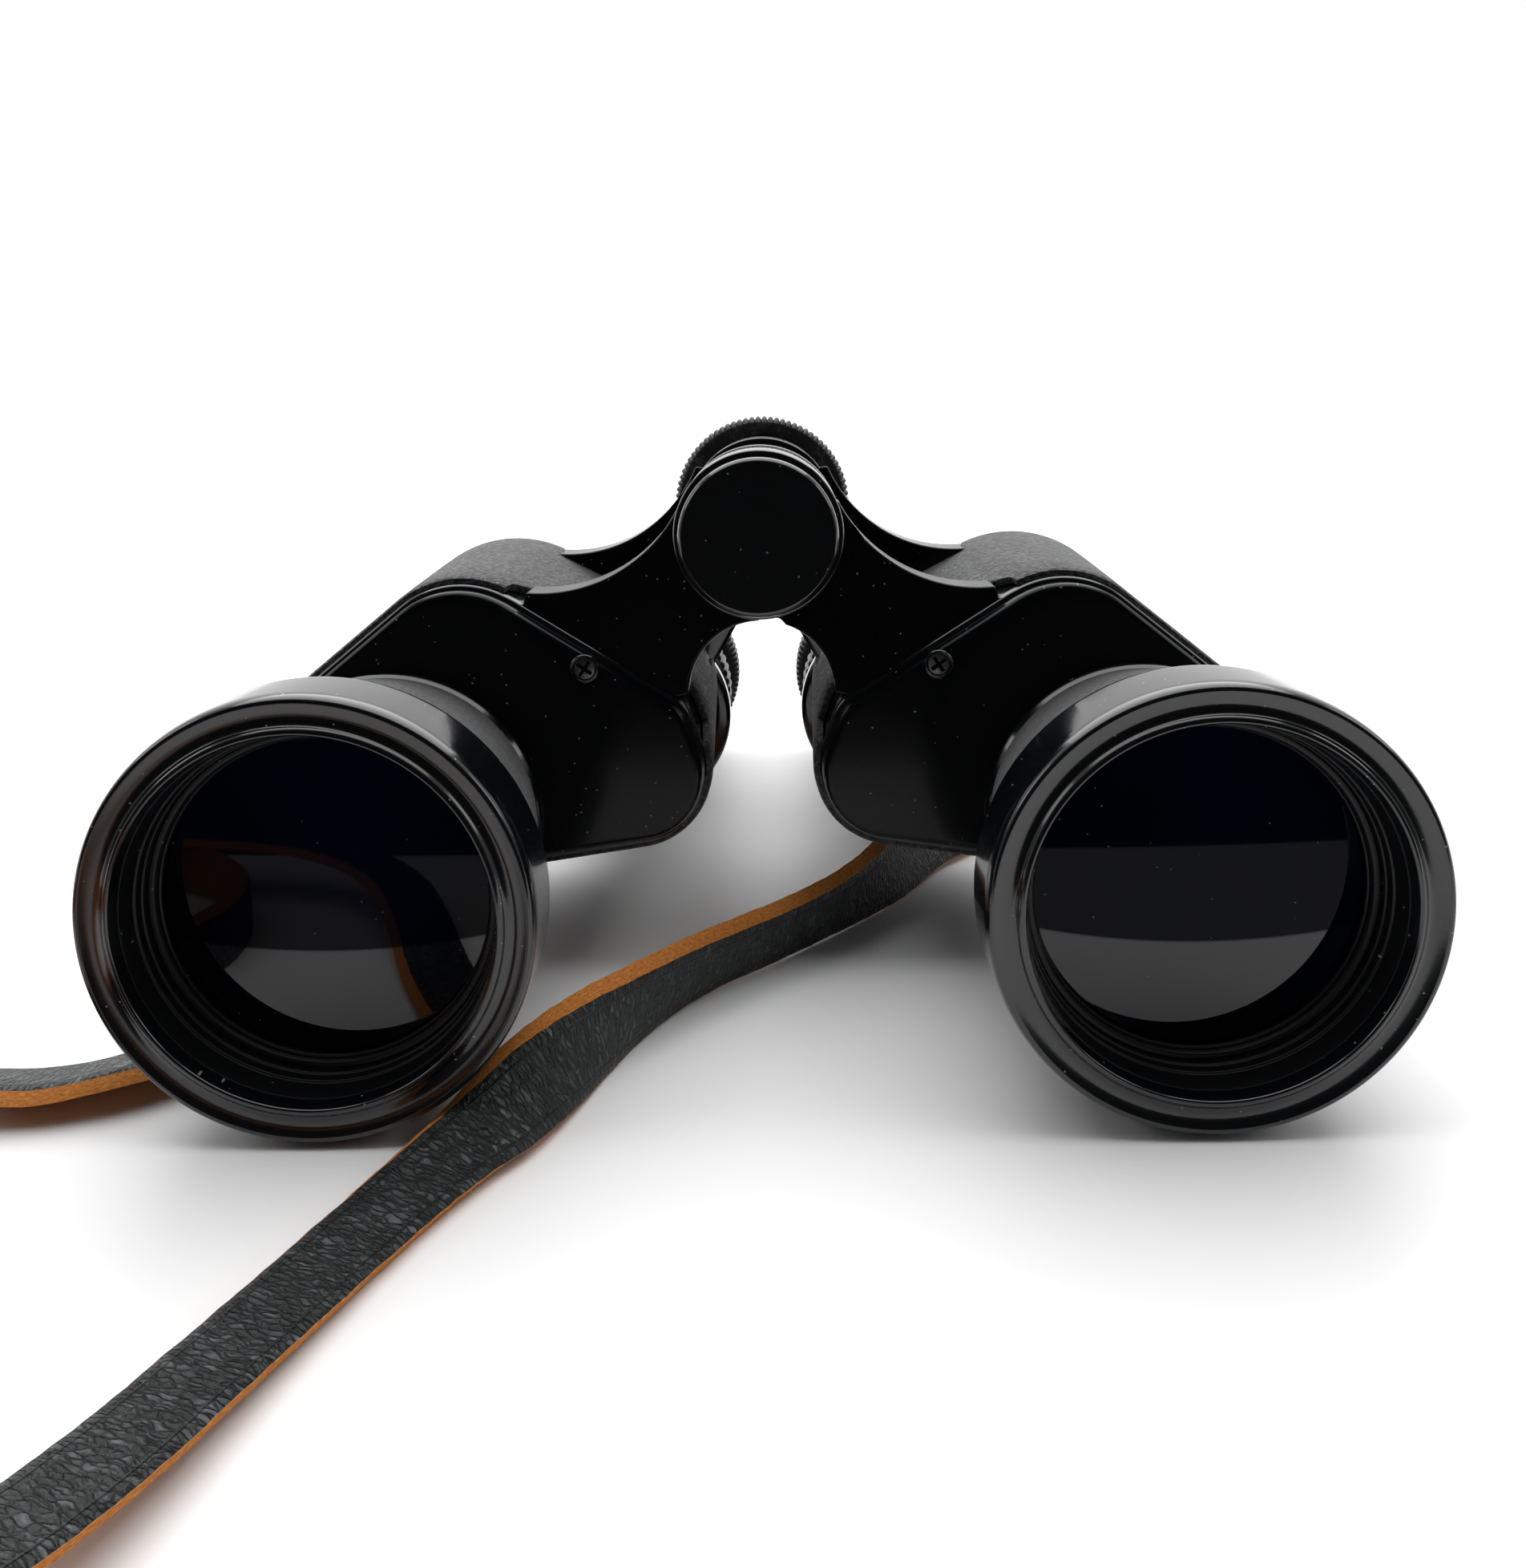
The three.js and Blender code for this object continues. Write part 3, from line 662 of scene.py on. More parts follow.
@dataclass(frozen=True)
class StrapLeather(Finish):
    """Charcoal strap leather: printed grain, creases across it, a tooled line by each edge, raw tan edges.

    The strap's own uv runs along it (u, metres) and across it (v, metres from its middle), and the
    attribute cut is 1 on its raw edges.
    """

    half_width: float = 0.006

    def paint(self, graph: Graph) -> None:
        """Grain and creases in uv, a painted highlight on the grain's tops, tan fibres on the cut edges."""
        uv = graph.node("ShaderNodeUVMap", {"uv_map": "strap"}, {})
        cut = graph.node("ShaderNodeAttribute", {"attribute_name": "cut"}, {}, "Fac")
        across = graph.split(uv, "Y").size()
        warp = graph.node("ShaderNodeVectorMath", {"operation": "MULTIPLY_ADD"},
                          {0: graph.node("ShaderNodeTexNoise", {}, {"Vector": uv, "Scale": 300.0}, "Color"),
                           1: (0.0016, 0.0016, 0.0016), 2: uv})
        slant = graph.node("ShaderNodeMapping", {}, {"Vector": warp, "Rotation": (0.0, 0.0, 0.3),
                                                     "Scale": (1.0, 0.36, 1.0)})
        grain = graph.cells(slant, 1250.0, "DISTANCE_TO_EDGE")
        pebble = graph.cells(slant, 1250.0)
        lit = graph.split(graph.cells(slant, 1250.0, output="Color"), "X")
        crease = graph.noise(slant, 700.0, 5.0, 0.65)
        fold = graph.noise(graph.stretched(uv, (1.0, 0.3, 1.0)), 110.0, 3.0, 0.6)
        line = 1 - ((across - (self.half_width - 0.0017)).size()).above(0.00004, 0.0002)
        wrinkle = (crease - 0.5).size().above(0.0, 0.1)
        height = (1 - pebble) * 0.9 + grain.above(0.0, 0.15) * 0.5 + wrinkle * 0.3 + fold * 0.8 - line * 0.8
        dark, pale = (0.012, 0.0145, 0.015), (0.11, 0.122, 0.124)
        fold_share = fold.above(0.38, 0.3) * 0.75 + 0.25
        # painted highlight: the grain's tops are painted paler in random cells, more where the fold noise is
        # high, and along some creases
        tops = grain.above(0.04, 0.22) * lit.above(0.35, 0.6) * fold_share + crease.above(0.55, 0.2) * 0.25
        top_colour = graph.mixed(line * 0.7, graph.mixed(tops, dark, pale), (0.008, 0.009, 0.009))
        fibre = graph.noise(graph.stretched(uv, (1.0, 4.0, 1.0)), 1300.0, 5.0, 0.8)
        tan = graph.mixed(fibre.above(0.35, 0.3), (0.4, 0.11, 0.014), (0.95, 0.36, 0.06))
        ragged = (cut + (fibre - 0.5) * 0.25).above(0.42, 0.12)
        graph.set(Base_Color=graph.mixed(ragged, top_colour, tan))
        graph.set(Roughness=0.4 + ragged * 0.45 + wrinkle * 0.1)
        relief = height * (1 - ragged) + fibre * ragged
        graph.set(Normal=graph.bump(relief, 0.00045, 1.0), Specular_IOR_Level=0.5)


@dataclass(frozen=True)
class Table(Finish):
    """The pale table."""

    def paint(self, graph: Graph) -> None:
        """White laminate with a faint sheen."""
        place = graph.place()
        soft = graph.noise(place, 3.0, 2.0)
        graph.set(Base_Color=graph.mixed(soft, (0.86, 0.86, 0.865), (0.9, 0.9, 0.9)))
        graph.set(Roughness=0.42 + soft * 0.05, Specular_IOR_Level=0.3)


class Palette:
    """The finishes, each built once."""

    def __init__(self) -> None:
        """Lists the finishes."""
        self.enamel = Enamel("stoved_enamel", "black_enamel")
        self.satin = Enamel("satin_enamel", "black_enamel", roughness=0.14, dust=0.07, shine=0.14, coat=0.03)
        self.bore = Enamel("matt_bore_black", "black_enamel", colour=(0.0018, 0.0022, 0.003),
                           roughness=0.36, dust=0.05, shine=0.3, coat=0.0)
        self.anodised = Anodised("satin_anodised", "black_anodised")
        self.grip = DustyGrip("dusty_grip", "black_anodised")
        self.pebbled = Pebbled("pebbled_covering", "pebbled_covering")
        self.glass = CoatedGlass("coated_glass", "optical_glass")
        self.resin = Resin("eyecup_resin", "eyecup_resin")
        self.steel = Metal("blackened_steel", "screw_steel", (0.16, 0.16, 0.165), 0.3)
        self.brass = Metal("turned_brass", "brass", (0.62, 0.46, 0.2), 0.3)
        self.leather = StrapLeather("strap_leather", "strap_leather")
        self.table = Table("pale_table")
        self._made: Dict[str, bpy.types.Material] = {}

    def material(self, finish: Finish) -> bpy.types.Material:
        """The finish's material, made on first use."""
        if finish.name not in self._made:
            self._made[finish.name] = finish.build()
        return self._made[finish.name]


# ---------------------------------------------------------------- workshop


class Workshop:
    """Makes Blender objects from surfaces, dresses them and puts them on their bodies."""

    def __init__(self, frame: Dict) -> None:
        """Keeps the frame, the palette and the place of the barrels' axes."""
        self.frame = frame
        self.palette = Palette()
        hinge = next(j for j in frame["joints"] if j["name"] == "interpupillary_hinge")
        self.place = Place.of_hinge(hinge)

    def mesh_object(self, name: str, points: np.ndarray, faces: np.ndarray,
                    caps: Tuple[Tuple[int, ...], ...], sharp: float) -> bpy.types.Object:
        """An object at the origin from points in metres.

        Args:
            name: the object's name.
            points: the vertices.
            faces: four-cornered faces.
            caps: faces with many corners.
            sharp: the angle in degrees past which an edge stays sharp.

        Returns:
            The object, with its doubles merged and its faces pointing out.
        """
        mesh = bpy.data.meshes.new(name)
        mesh.from_pydata(points.tolist(), [], faces.tolist() + [list(c) for c in caps])
        work = bmesh.new()
        work.from_mesh(mesh)
        bmesh.ops.remove_doubles(work, verts=work.verts, dist=1e-7)
        bmesh.ops.dissolve_degenerate(work, edges=work.edges, dist=1e-8)
        bmesh.ops.recalc_face_normals(work, faces=work.faces)
        work.to_mesh(mesh)
        work.free()
        mesh.shade_smooth()
        mesh.set_sharp_from_angle(angle=math.radians(sharp))
        made = bpy.data.objects.new(name, mesh)
        bpy.context.scene.collection.objects.link(made)
        return made

    def dress(self, made: bpy.types.Object, finish: Finish, body: Body,
              nodes: Sequence[str]) -> bpy.types.Object:
        """Gives an object its material, and puts it on its body.

        Args:
            made: the object.
            finish: its finish.
            body: the body that it rides on.
            nodes: the solids that it takes the place of.

        Returns:
            The same object.
        """
        made.data.materials.clear()
        made.data.materials.append(self.palette.material(finish))
        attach(made, body.value)
        if nodes:
            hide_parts(*nodes)
        LOG.info("%s on %s", made.name, body.value)
        return made

    def piece(self, name: str, surface: Surface, finish: Finish, body: Body, *nodes: str,
              bevel: float = 0.0, sharp: float = 32.0) -> bpy.types.Object:
        """Makes a piece from a surface in the barrels' axes.

        Args:
            name: the piece's name.
            surface: its surface, in millimetres.
            finish: its finish.
            body: the body that it rides on.
            nodes: the solids that it takes the place of.
            bevel: the width of its edges' rounding, in millimetres.
            sharp: the angle past which an edge stays sharp.

        Returns:
            The object.
        """
        made = self.mesh_object(name, self.place.points(surface.points), surface.faces, surface.caps, sharp)
        if bevel:
            rounding = made.modifiers.new("rounding", "BEVEL")
            rounding.width = bevel * MM
            rounding.segments = 3
            rounding.limit_method = "ANGLE"
            rounding.angle_limit = math.radians(50)
            rounding.harden_normals = True
        return self.dress(made, finish, body, nodes)

    def repaint(self, node: str, finish: Finish) -> None:
        """Gives a solid that stays its finish."""
        mesh = self.frame["nodes"][node].data
        mesh.materials.clear()
        mesh.materials.append(self.palette.material(finish))


# ---------------------------------------------------------------- the halves


@dataclass
class Barrel:
    """One objective barrel: hood, cell rings, lens, conical tube and its covering."""

    shop: Workshop
    side: Side
    body: Body
    axis: Tuple[float, float] = (63.0, 32.2)
    rim: float = 32.2

    def make(self) -> None:
        """Builds the barrel's pieces."""
        self.hood()
        self.rings()
        self.lens()
        self.tube()

    def add(self, name: str, surface: Surface, finish: Finish, *nodes: str, **extra: float) -> bpy.types.Object:
        """Makes a piece of this side."""
        return self.shop.piece(f"{self.side.word}_{name}", surface.mirrored(self.side), finish, self.body,
                               *[f"{self.side.word}_{n}" for n in nodes], **extra)

    def hood(self) -> None:
        """The hood: a big round on the rim, a shallow dished face and a raised inner lip."""
        profile = softened([
            (27.6, 14.0, 0.2), (self.rim - 0.5, 14.0, 0.5), (self.rim, 12.6, 0.6), (self.rim, 0.0, 3.2),
            (29.7, 0.95, 1.6), (28.2, 1.0, 1.0), (27.5, 0.0, 0.6), (26.7, 0.0, 0.7),
            (26.35, 1.8, 0.4), (26.35, 2.6, 0.1), (27.6, 2.6, 0.1)], steps=10)
        self.add("hood", turned(profile, self.axis, 192), self.shop.palette.enamel,
                 "objective_hood", sharp=60.0)

    def rings(self) -> None:
        """The matt bore with its two steps, the retaining ring, and the cell's finish."""
        bore = softened([(26.25, 2.4, 0.1), (25.9, 6.0, 0.15), (25.55, 6.2, 0.15), (25.45, 7.6, 0.15),
                         (25.15, 7.8, 0.15), (25.1, 10.4, 0.1), (27.5, 10.4, 0.1), (27.5, 2.4, 0.1)])
        self.add("bore", turned(bore, self.axis, 160), self.shop.palette.bore)
        ring = softened([(24.3, 9.0, 0.25), (25.1, 8.9, 0.2), (25.1, 11.6, 0.2), (24.5, 11.7, 0.1),
                         (23.7, 11.0, 0.2), (23.7, 10.4, 0.2), (24.0, 10.2, 0.1), (24.0, 9.6, 0.1)])
        self.add("retaining_ring", turned(ring, self.axis, 144), self.shop.palette.bore,
                 "objective_retaining_ring")
        self.shop.repaint(f"{self.side.word}_objective_cell", self.shop.palette.bore)

    def lens(self) -> None:
        """The front lens: a cap of a sphere in front, a flat band round it and a nearly flat back."""
        r = np.linspace(0.0, 24.5, 24)
        bulge = 900.0  # the radius of the sphere
        front = np.column_stack([r, 11.3 + bulge - np.sqrt(bulge**2 - r**2)])
        back = np.column_stack([r[::-1], 20.2 - 0.0012 * r[::-1] ** 2])
        self.add("lens", turned(np.vstack([front, back]), self.axis, 144, closed=False),
                 self.shop.palette.glass, "objective_lens", sharp=50.0)

    def tube(self) -> None:
        """The cone's covering, with a rolled edge at each end, and the plain collar by the cover."""
        profile = softened([(29.0, 14.2, 0.2), (30.5, 14.2, 0.5), (24.9, 44.6, 0.5), (23.6, 44.6, 0.2)])
        self.add("tube_covering", turned(profile, self.axis, 160), self.shop.palette.pebbled,
                 "tube_leatherette", "objective_tube", sharp=50.0)
        collar = softened([(22.0, 44.2, 0.2), (24.7, 44.2, 0.4), (25.6, 45.4, 0.5), (25.6, 46.6, 0.2),
                           (22.0, 46.6, 0.2)])
        self.add("tube_collar", turned(collar, self.axis, 144), self.shop.palette.enamel)


@dataclass
class Housing:
    """One half's cast body with its covers, covering, arms, knuckles, cover screw and strap lug."""

    shop: Workshop
    side: Side
    body: Body
    form: BodyForm = field(default_factory=BodyForm)
    hinge: Tuple[float, float] = (HINGE[0], HINGE[2])
    knuckle: float = 13.7
    arm_front: Tuple[float, float] = (49.3, 57.3)
    arm_back: Tuple[float, float] = (82.5, 90.0)
    arch: Circle = (0.0, 52.5, 12.5)
    sweep: Circle = (37.0, 96.6, 26.3)
    arm_top: Tuple[float, float] = (13.5, 84.8)
    rear_raised: float = 2.4
    screw_at: Tuple[float, float] = (29.7, 57.8)
    skin_front: Tuple[float, float] = (50.5, 58.1)
    skin_back: Tuple[float, float] = (88.5, 81.6)

    def add(self, name: str, surface: Surface, finish: Finish, *nodes: str, **extra: float) -> bpy.types.Object:
        """Makes a piece of this side."""
        return self.shop.piece(f"{self.side.word}_{name}", surface.mirrored(self.side), finish, self.body,
                               *[f"{self.side.word}_{n}" for n in nodes], **extra)

    def make(self) -> None:
        """Builds the housing's pieces."""
        palette = self.shop.palette
        self.add("front_plate", self.form.plate(
            [(46.4, 2.2), (46.4, 1.7), (46.45, 1.4), (46.65, 1.05), (47.0, 0.85), (47.5, 0.75),
             (48.6, 0.75)]),
            palette.satin, "front_cover", sharp=40.0)
        self.add("shell", self.form.plate(
            [(48.7, 1.6), (48.7, 0.55), (48.8, 0.25), (49.0, 0.05), (49.3, 0.0), (50.2, 0.0), (50.4, 0.35),
             (88.8, 0.35), (89.0, 0.0), (89.6, 0.0), (89.9, 0.2), (90.0, 0.6), (90.0, 1.6)]),
            palette.enamel, "prism_housing", sharp=40.0)
        self.add("rear_plate", self.form.plate(
            [(90.3, 1.6), (90.3, 0.75), (92.0, 0.75), (92.5, 0.85), (92.8, 1.05), (92.95, 1.4), (93.0, 1.8),
             (93.0, 2.2)]),
            palette.enamel, "rear_cover", sharp=40.0)
        self.covering()
        self.arms()
        self.screw()
        self.lug()
        for node in ("rear_prism", "front_prism"):
            self.shop.repaint(f"{self.side.word}_{node}", palette.glass)
        self.shop.repaint(f"{self.side.word}_prism_seat", palette.anodised)

    def covering(self) -> None:
        """The pebbled covering: a skin 1.1 mm thick whose front and back edges step back round the arms.

        Its front edge stands at the first depth of skin_front away from the arms, and steps smoothly to the
        second where an arm leaves the body. Its back edge does the same with skin_back.
        """
        across = 640
        angle = np.linspace(0.0, TURN, across, endpoint=False)
        base = self.form.section(np.full(across, 70.0), np.zeros(across), angle)
        beside = smooth((41.4 - base[:, 0]) / 0.9) * smooth((base[:, 1] - 47.0) / 1.0)
        front = self.skin_front[0] + (self.skin_front[1] - self.skin_front[0]) * beside
        back = self.skin_back[0] + (self.skin_back[1] - self.skin_back[0]) * beside
        rows = []
        for share, out in ((0.0, -0.1), (0.0, 0.8), (0.012, 1.1), (0.25, 1.15), (0.5, 1.15), (0.75, 1.15),
                           (0.988, 1.1), (1.0, 0.8), (1.0, -0.1)):
            y = front + (back - front) * share
            flat = self.form.section(y, np.full(across, -out), angle)
            rows.append(np.column_stack([flat[:, 0], y, flat[:, 1]]))
        points = np.stack(rows)
        self.add("covering", Surface(points.reshape(-1, 3), grid_faces(len(rows), across, True, True)),
                 self.shop.palette.pebbled, "housing_leatherette", sharp=50.0)

    def arm_outline(self, raised: float) -> np.ndarray:
        """An arm from the front: a round arch below, a hollow sweep above, between body and hinge.

        Args:
            raised: how much higher the sweep starts than on the front arm.

        Returns:
            The outline's (x, z) points.
        """
        _, arch_z, arch_r = self.arch
        sweep_x, sweep_z, sweep_r = self.sweep
        gap = 0.15  # half the clearance between the two arms
        below = np.linspace(math.pi / 2, 0.0, 24)[1:]
        end = math.atan2(self.arm_top[1] - sweep_z, self.arm_top[0] - sweep_x) - 0.03 * raised
        above = np.linspace(-1.47, end, 30)
        parts = [
            [[gap, arch_z + arch_r]],
            np.column_stack([arch_r * np.cos(below), arch_z + arch_r * np.sin(below)]),
            [[24.0, 49.0], [43.0, 58.0]],
            np.column_stack([sweep_x + sweep_r * np.cos(above), sweep_z + raised + sweep_r * np.sin(above)]),
            [[gap, 87.0]],
        ]
        return np.vstack(parts)

    def arms(self) -> None:
        """Both arms, and this side's knuckle at each."""
        palette = self.shop.palette
        laps = {Side.LEFT: ((38.3, 53.1), (86.4, 90.0)), Side.RIGHT: ((53.5, 57.3), (82.5, 86.1))}
        arms = (("front", self.arm_front, 0.0), ("rear", self.arm_back, self.rear_raised))
        for (place, (front, back), raised), (start, end) in zip(arms, laps[self.side]):
            web = self.clipped_web(self.arm_outline(raised), front, back, start, end)
            self.add(f"{place}_arm", web, palette.satin, bevel=0.45, sharp=40.0)
            profile = softened([(4.8, start, 0.1), (self.knuckle, start, 0.5), (self.knuckle, end, 0.3),
                                (4.8, end, 0.1)])
            self.add(f"{place}_knuckle", turned(profile, self.hinge, 128), palette.enamel)

    def clipped_web(self, outline: np.ndarray, front: float, back: float, start: float,
                    end: float) -> Surface:
        """An arm's web: full near the body, and near the hinge only as deep as this side's knuckle.

        Args:
            outline: the arm's outline in x and z.
            front: where the arm starts along y.
            back: where it ends.
            start: where this side's knuckle starts along y.
            end: where the knuckle ends.

        Returns:
            The web's surface.
        """
        near = np.linalg.norm(outline - np.array(self.hinge), axis=1) < self.knuckle + 3.2
        low = np.where(near, max(front, start), front)
        high = np.where(near, min(back, end), back)
        count = len(outline)
        points = np.vstack([np.column_stack([outline[:, 0], low, outline[:, 1]]),
                            np.column_stack([outline[:, 0], high, outline[:, 1]])])
        faces = grid_faces(2, count, False, True)
        return Surface(points, faces, (tuple(range(count)), tuple(range(count, 2 * count))))

    def screw(self) -> None:
        """The cover's screw: a domed head with a cross slot in a sunk seat with a raised edge.

        The head's height over its disc is 0.3 (1 - (r / R)^2), less 0.5 where the nearer of the two slot
        lines is within about 0.3 of the point and r is under about 1.4, with a smooth step at both.
        """
        centre_x, centre_z = self.screw_at
        reach, foot = 1.9, 47.4  # the head's radius, and the y of its underside
        rings, sides, turned_by = 20, 96, 0.6
        r = np.linspace(0.0, reach, rings)[:, None]
        a = np.linspace(0.0, TURN, sides, endpoint=False)[None, :] + turned_by
        across, along = r * np.cos(a - turned_by), r * np.sin(a - turned_by)
        slot = smooth((0.36 - np.minimum(np.abs(across), np.abs(along))) / 0.12) * smooth((1.5 - r) / 0.2)
        lift = 0.3 * (1 - (r / reach) ** 2) - 0.5 * slot
        x = centre_x + r * np.cos(a)
        z = centre_z + r * np.sin(a)
        top = np.stack([x, 46.45 - lift, z], -1)
        low = top[-1:].copy()
        low[..., 1] = foot
        centre = np.broadcast_to(np.array([centre_x, foot, centre_z]), low.shape)
        points = np.concatenate([top, low, centre]).reshape(-1, 3)
        self.add("screw_head", Surface(points, grid_faces(rings + 2, sides, False, True)),
                 self.shop.palette.steel, "cover_screw", sharp=60.0)
        seat = softened([(1.95, 46.2, 0.1), (2.15, 46.1, 0.15), (2.5, 46.35, 0.2), (2.5, 47.0, 0.1),
                         (1.95, 47.0, 0.1)])
        self.add("screw_seat", turned(seat, self.screw_at, 64), self.shop.palette.enamel)

    def lug(self) -> None:
        """The strap lug: a flat loop with rounded corners round a slot."""
        outer = np.array([[97.0, 67.0], [97.0, 85.0], [86.0, 87.0], [86.0, 65.0]])
        inner = np.array([[94.8, 69.6], [94.8, 82.4], [90.9, 82.4], [90.9, 69.6]])
        loop = [softened([(*c, 2.2) for c in outer], 6), softened([(*c, 1.0) for c in inner], 6)]
        rows = []
        for outline, z in ((loop[0], 36.5), (loop[0], 39.5), (loop[1], 39.5), (loop[1], 36.5)):
            rows.append(np.column_stack([outline, np.full(len(outline), z)]))
        self.add("lug", Surface(np.stack(rows).reshape(-1, 3), grid_faces(4, len(rows[0]), True, True)),
                 self.shop.palette.enamel, "strap_lug", bevel=0.5)


# ---------------------------------------------------------------- hinge and eyepieces


@dataclass
class Hinge:
    """The cap, the sleeve between the arms, the axle, the focusing wheel and the bridge's nut.

    Cap and wheel are radii, and teeth is the wheel's count.
    """

    shop: Workshop
    axis: Tuple[float, float] = (HINGE[0], HINGE[2])
    cap: float = 12.75
    wheel: float = 17.3
    teeth: int = 84

    def make(self) -> None:
        """Builds the hinge's pieces."""
        palette, shop = self.shop.palette, self.shop
        cap = softened([(0, 34.2, 0), (12.15, 34.2, 0.4), (self.cap, 34.9, 0.5),
                        (self.cap, 37.6, 0.3), (12.5, 38.1, 0.2), (0, 38.1, 0)], closed=False)
        shop.piece("cap", turned(cap, self.axis, 160, closed=False), palette.enamel, Body.LEFT_HALF,
                   "hinge_cap")
        sleeve = softened([(4.9, 57.7, 0.1), (8.6, 57.7, 0.3), (8.6, 59.4, 0.3), (8.0, 59.7, 0.3),
                           (8.0, 80.0, 0.3), (8.6, 80.3, 0.3), (8.6, 82.1, 0.3), (4.9, 82.1, 0.1)])
        shop.piece("sleeve", turned(sleeve, self.axis, 96), palette.satin, Body.LEFT_HALF, "hinge_sleeve")
        shop.repaint("hinge_axle", palette.brass)
        shop.repaint("focus_spindle", palette.brass)
        self.focus_wheel()
        nut = softened([(0, 118.6, 0), (5.6, 118.6, 0.6), (6.0, 119.4, 0.4), (6.0, 120.8, 0.6),
                        (4.6, 121.4, 0.5), (0, 121.6, 0)], closed=False)
        shop.piece("bridge_nut", turned(nut, self.axis, 64, closed=False, teeth=24, depth=0.3, grip_from=5.7),
                   palette.steel, Body.LEFT_EYEPIECE, "bridge_screw")

    def focus_wheel(self) -> None:
        """The wheel: fine pointed teeth on its rim, a dished dusty face and a raised hub."""
        rim = self.wheel
        profile = softened([
            (4.9, 92.4, 0.2), (9.5, 92.4, 0.5), (10.0, 93.4, 0.4), (12.8, 93.6, 0.5), (13.4, 92.6, 0.5),
            (rim - 0.9, 92.5, 0.4), (rim, 93.4, 0.5), (rim, 100.2, 0.5), (rim - 0.9, 101.0, 0.4),
            (9.5, 101.0, 0.5), (9.0, 101.3, 0.2), (4.9, 101.3, 0.2)], steps=6)
        surface = turned(profile, self.axis, self.teeth * 8, teeth=self.teeth, depth=0.75,
                         grip_from=rim - 0.95)
        self.shop.piece("wheel", surface, self.shop.palette.grip, Body.WHEEL, "focus_wheel", sharp=40.0)


@dataclass
class Eyepiece:
    """One eyepiece: guide, bridge arm, barrel, ring, lens and eyecup."""

    shop: Workshop
    side: Side
    half: Body
    carrier: Body
    ring_body: Body
    ocular: Body
    ring_node: str
    axis: Tuple[float, float] = (27.6, 34.8)
    spindle: Tuple[float, float] = (HINGE[0], HINGE[2])

    def add(self, name: str, surface: Surface, finish: Finish, body: Body, *nodes: str,
            **extra: float) -> bpy.types.Object:
        """Makes a piece of this side."""
        return self.shop.piece(f"{self.side.word}_{name}", surface.mirrored(self.side), finish, body,
                               *[f"{self.side.word}_{n}" for n in nodes], **extra)

    def make(self) -> None:
        """Builds the eyepiece's pieces."""
        palette = self.shop.palette
        guide = softened([(12.7, 88.0, 0.1), (14.0, 88.0, 0.1), (14.0, 93.2, 0.1), (17.0, 93.2, 0.3),
                          (17.0, 95.2, 0.5), (15.9, 95.8, 0.3), (15.4, 96.4, 0.4), (15.4, 99.0, 0.4),
                          (12.7, 99.0, 0.2)])
        self.add("guide", turned(guide, self.axis, 112), palette.enamel, self.half, "eyepiece_guide")
        self.bridge()
        barrel = softened([
            (11.2, 84.0, 0.1), (12.3, 84.0, 0.2), (12.3, 103.5, 0.3), (16.2, 103.5, 0.4), (16.6, 104.2, 0.4),
            (16.6, 122.6, 0.3), (16.2, 123.0, 0.2), (16.2, 136.0, 0.2), (16.6, 136.4, 0.3), (16.6, 139.4, 0.8),
            (18.0, 145.4, 0.6), (17.6, 146.0, 0.2), (14.9, 146.0, 0.1), (14.9, 106.0, 0.1), (11.2, 104.5, 0.1)])
        self.add("barrel", turned(barrel, self.axis, 128), palette.anodised, self.carrier, "eyepiece_barrel")
        self.grip_ring()
        self.cell()
        self.cup()

    def bridge(self) -> None:
        """The bridge arm: a tapering beam from spindle to barrel, and a ring round the barrel."""
        front = 106.0 if self.side is Side.LEFT else 111.1
        ends = ((*self.spindle, 8.2), (*self.axis, 9.0))
        beam = BodyForm(front, front + 4.8, ends, ends)
        levels = [(front, 0.9), (front + 0.15, 0.35), (front + 0.6, 0.0), (front + 4.2, 0.0),
                  (front + 4.65, 0.35), (front + 4.8, 0.9)]
        self.add("bridge_beam", beam.plate(levels, 96), self.shop.palette.enamel, self.carrier,
                 "bridge_arm", sharp=40.0)
        collar = softened([(16.8, front, 0.1), (19.4, front, 0.6), (20.0, front + 0.8, 0.6),
                           (20.0, front + 4.0, 0.6), (19.4, front + 4.8, 0.6), (16.8, front + 4.8, 0.1)])
        self.add("bridge_collar", turned(collar, self.axis, 112), self.shop.palette.enamel, self.carrier)

    def grip_ring(self) -> None:
        """The knurled ring: fixed on the left, the dioptre adjustment on the right."""
        profile = softened([(16.9, 124.0, 0.1), (18.4, 124.0, 0.4), (18.4, 125.4, 0.3), (19.4, 125.8, 0.4),
                            (19.4, 134.2, 0.5), (18.6, 135.0, 0.4), (16.9, 135.0, 0.1)])
        surface = turned(profile, self.axis, 60 * 8, teeth=60, depth=0.5, grip_from=18.9)
        self.add("grip_ring", surface, self.shop.palette.anodised, self.ring_body, self.ring_node, sharp=40.0)

    def cell(self) -> None:
        """The eye lens in its cell."""
        palette = self.shop.palette
        cell = softened([(13.2, 129.0, 0.1), (14.4, 129.0, 0.1), (14.4, 151.6, 0.3), (13.6, 151.7, 0.3),
                         (13.0, 150.2, 0.4), (12.9, 148.6, 0.1)])
        self.add("eye_cell", turned(cell, self.axis, 96), palette.anodised, self.ocular, "ocular_cell")
        r = np.linspace(0.0, 12.8, 16)
        bulge = 36.0  # the radius of the outer face's sphere
        back = np.column_stack([r[::-1], 150.5 - bulge + np.sqrt(bulge**2 - r[::-1] ** 2)])
        front = np.column_stack([r, np.full(len(r), 145.0)])
        self.add("eye_glass", turned(np.vstack([front, back]), self.axis, 96, closed=False), palette.glass,
                 self.ocular, "eye_lens", sharp=50.0)
        self.shop.repaint(f"{self.side.word}_field_lens", palette.glass)

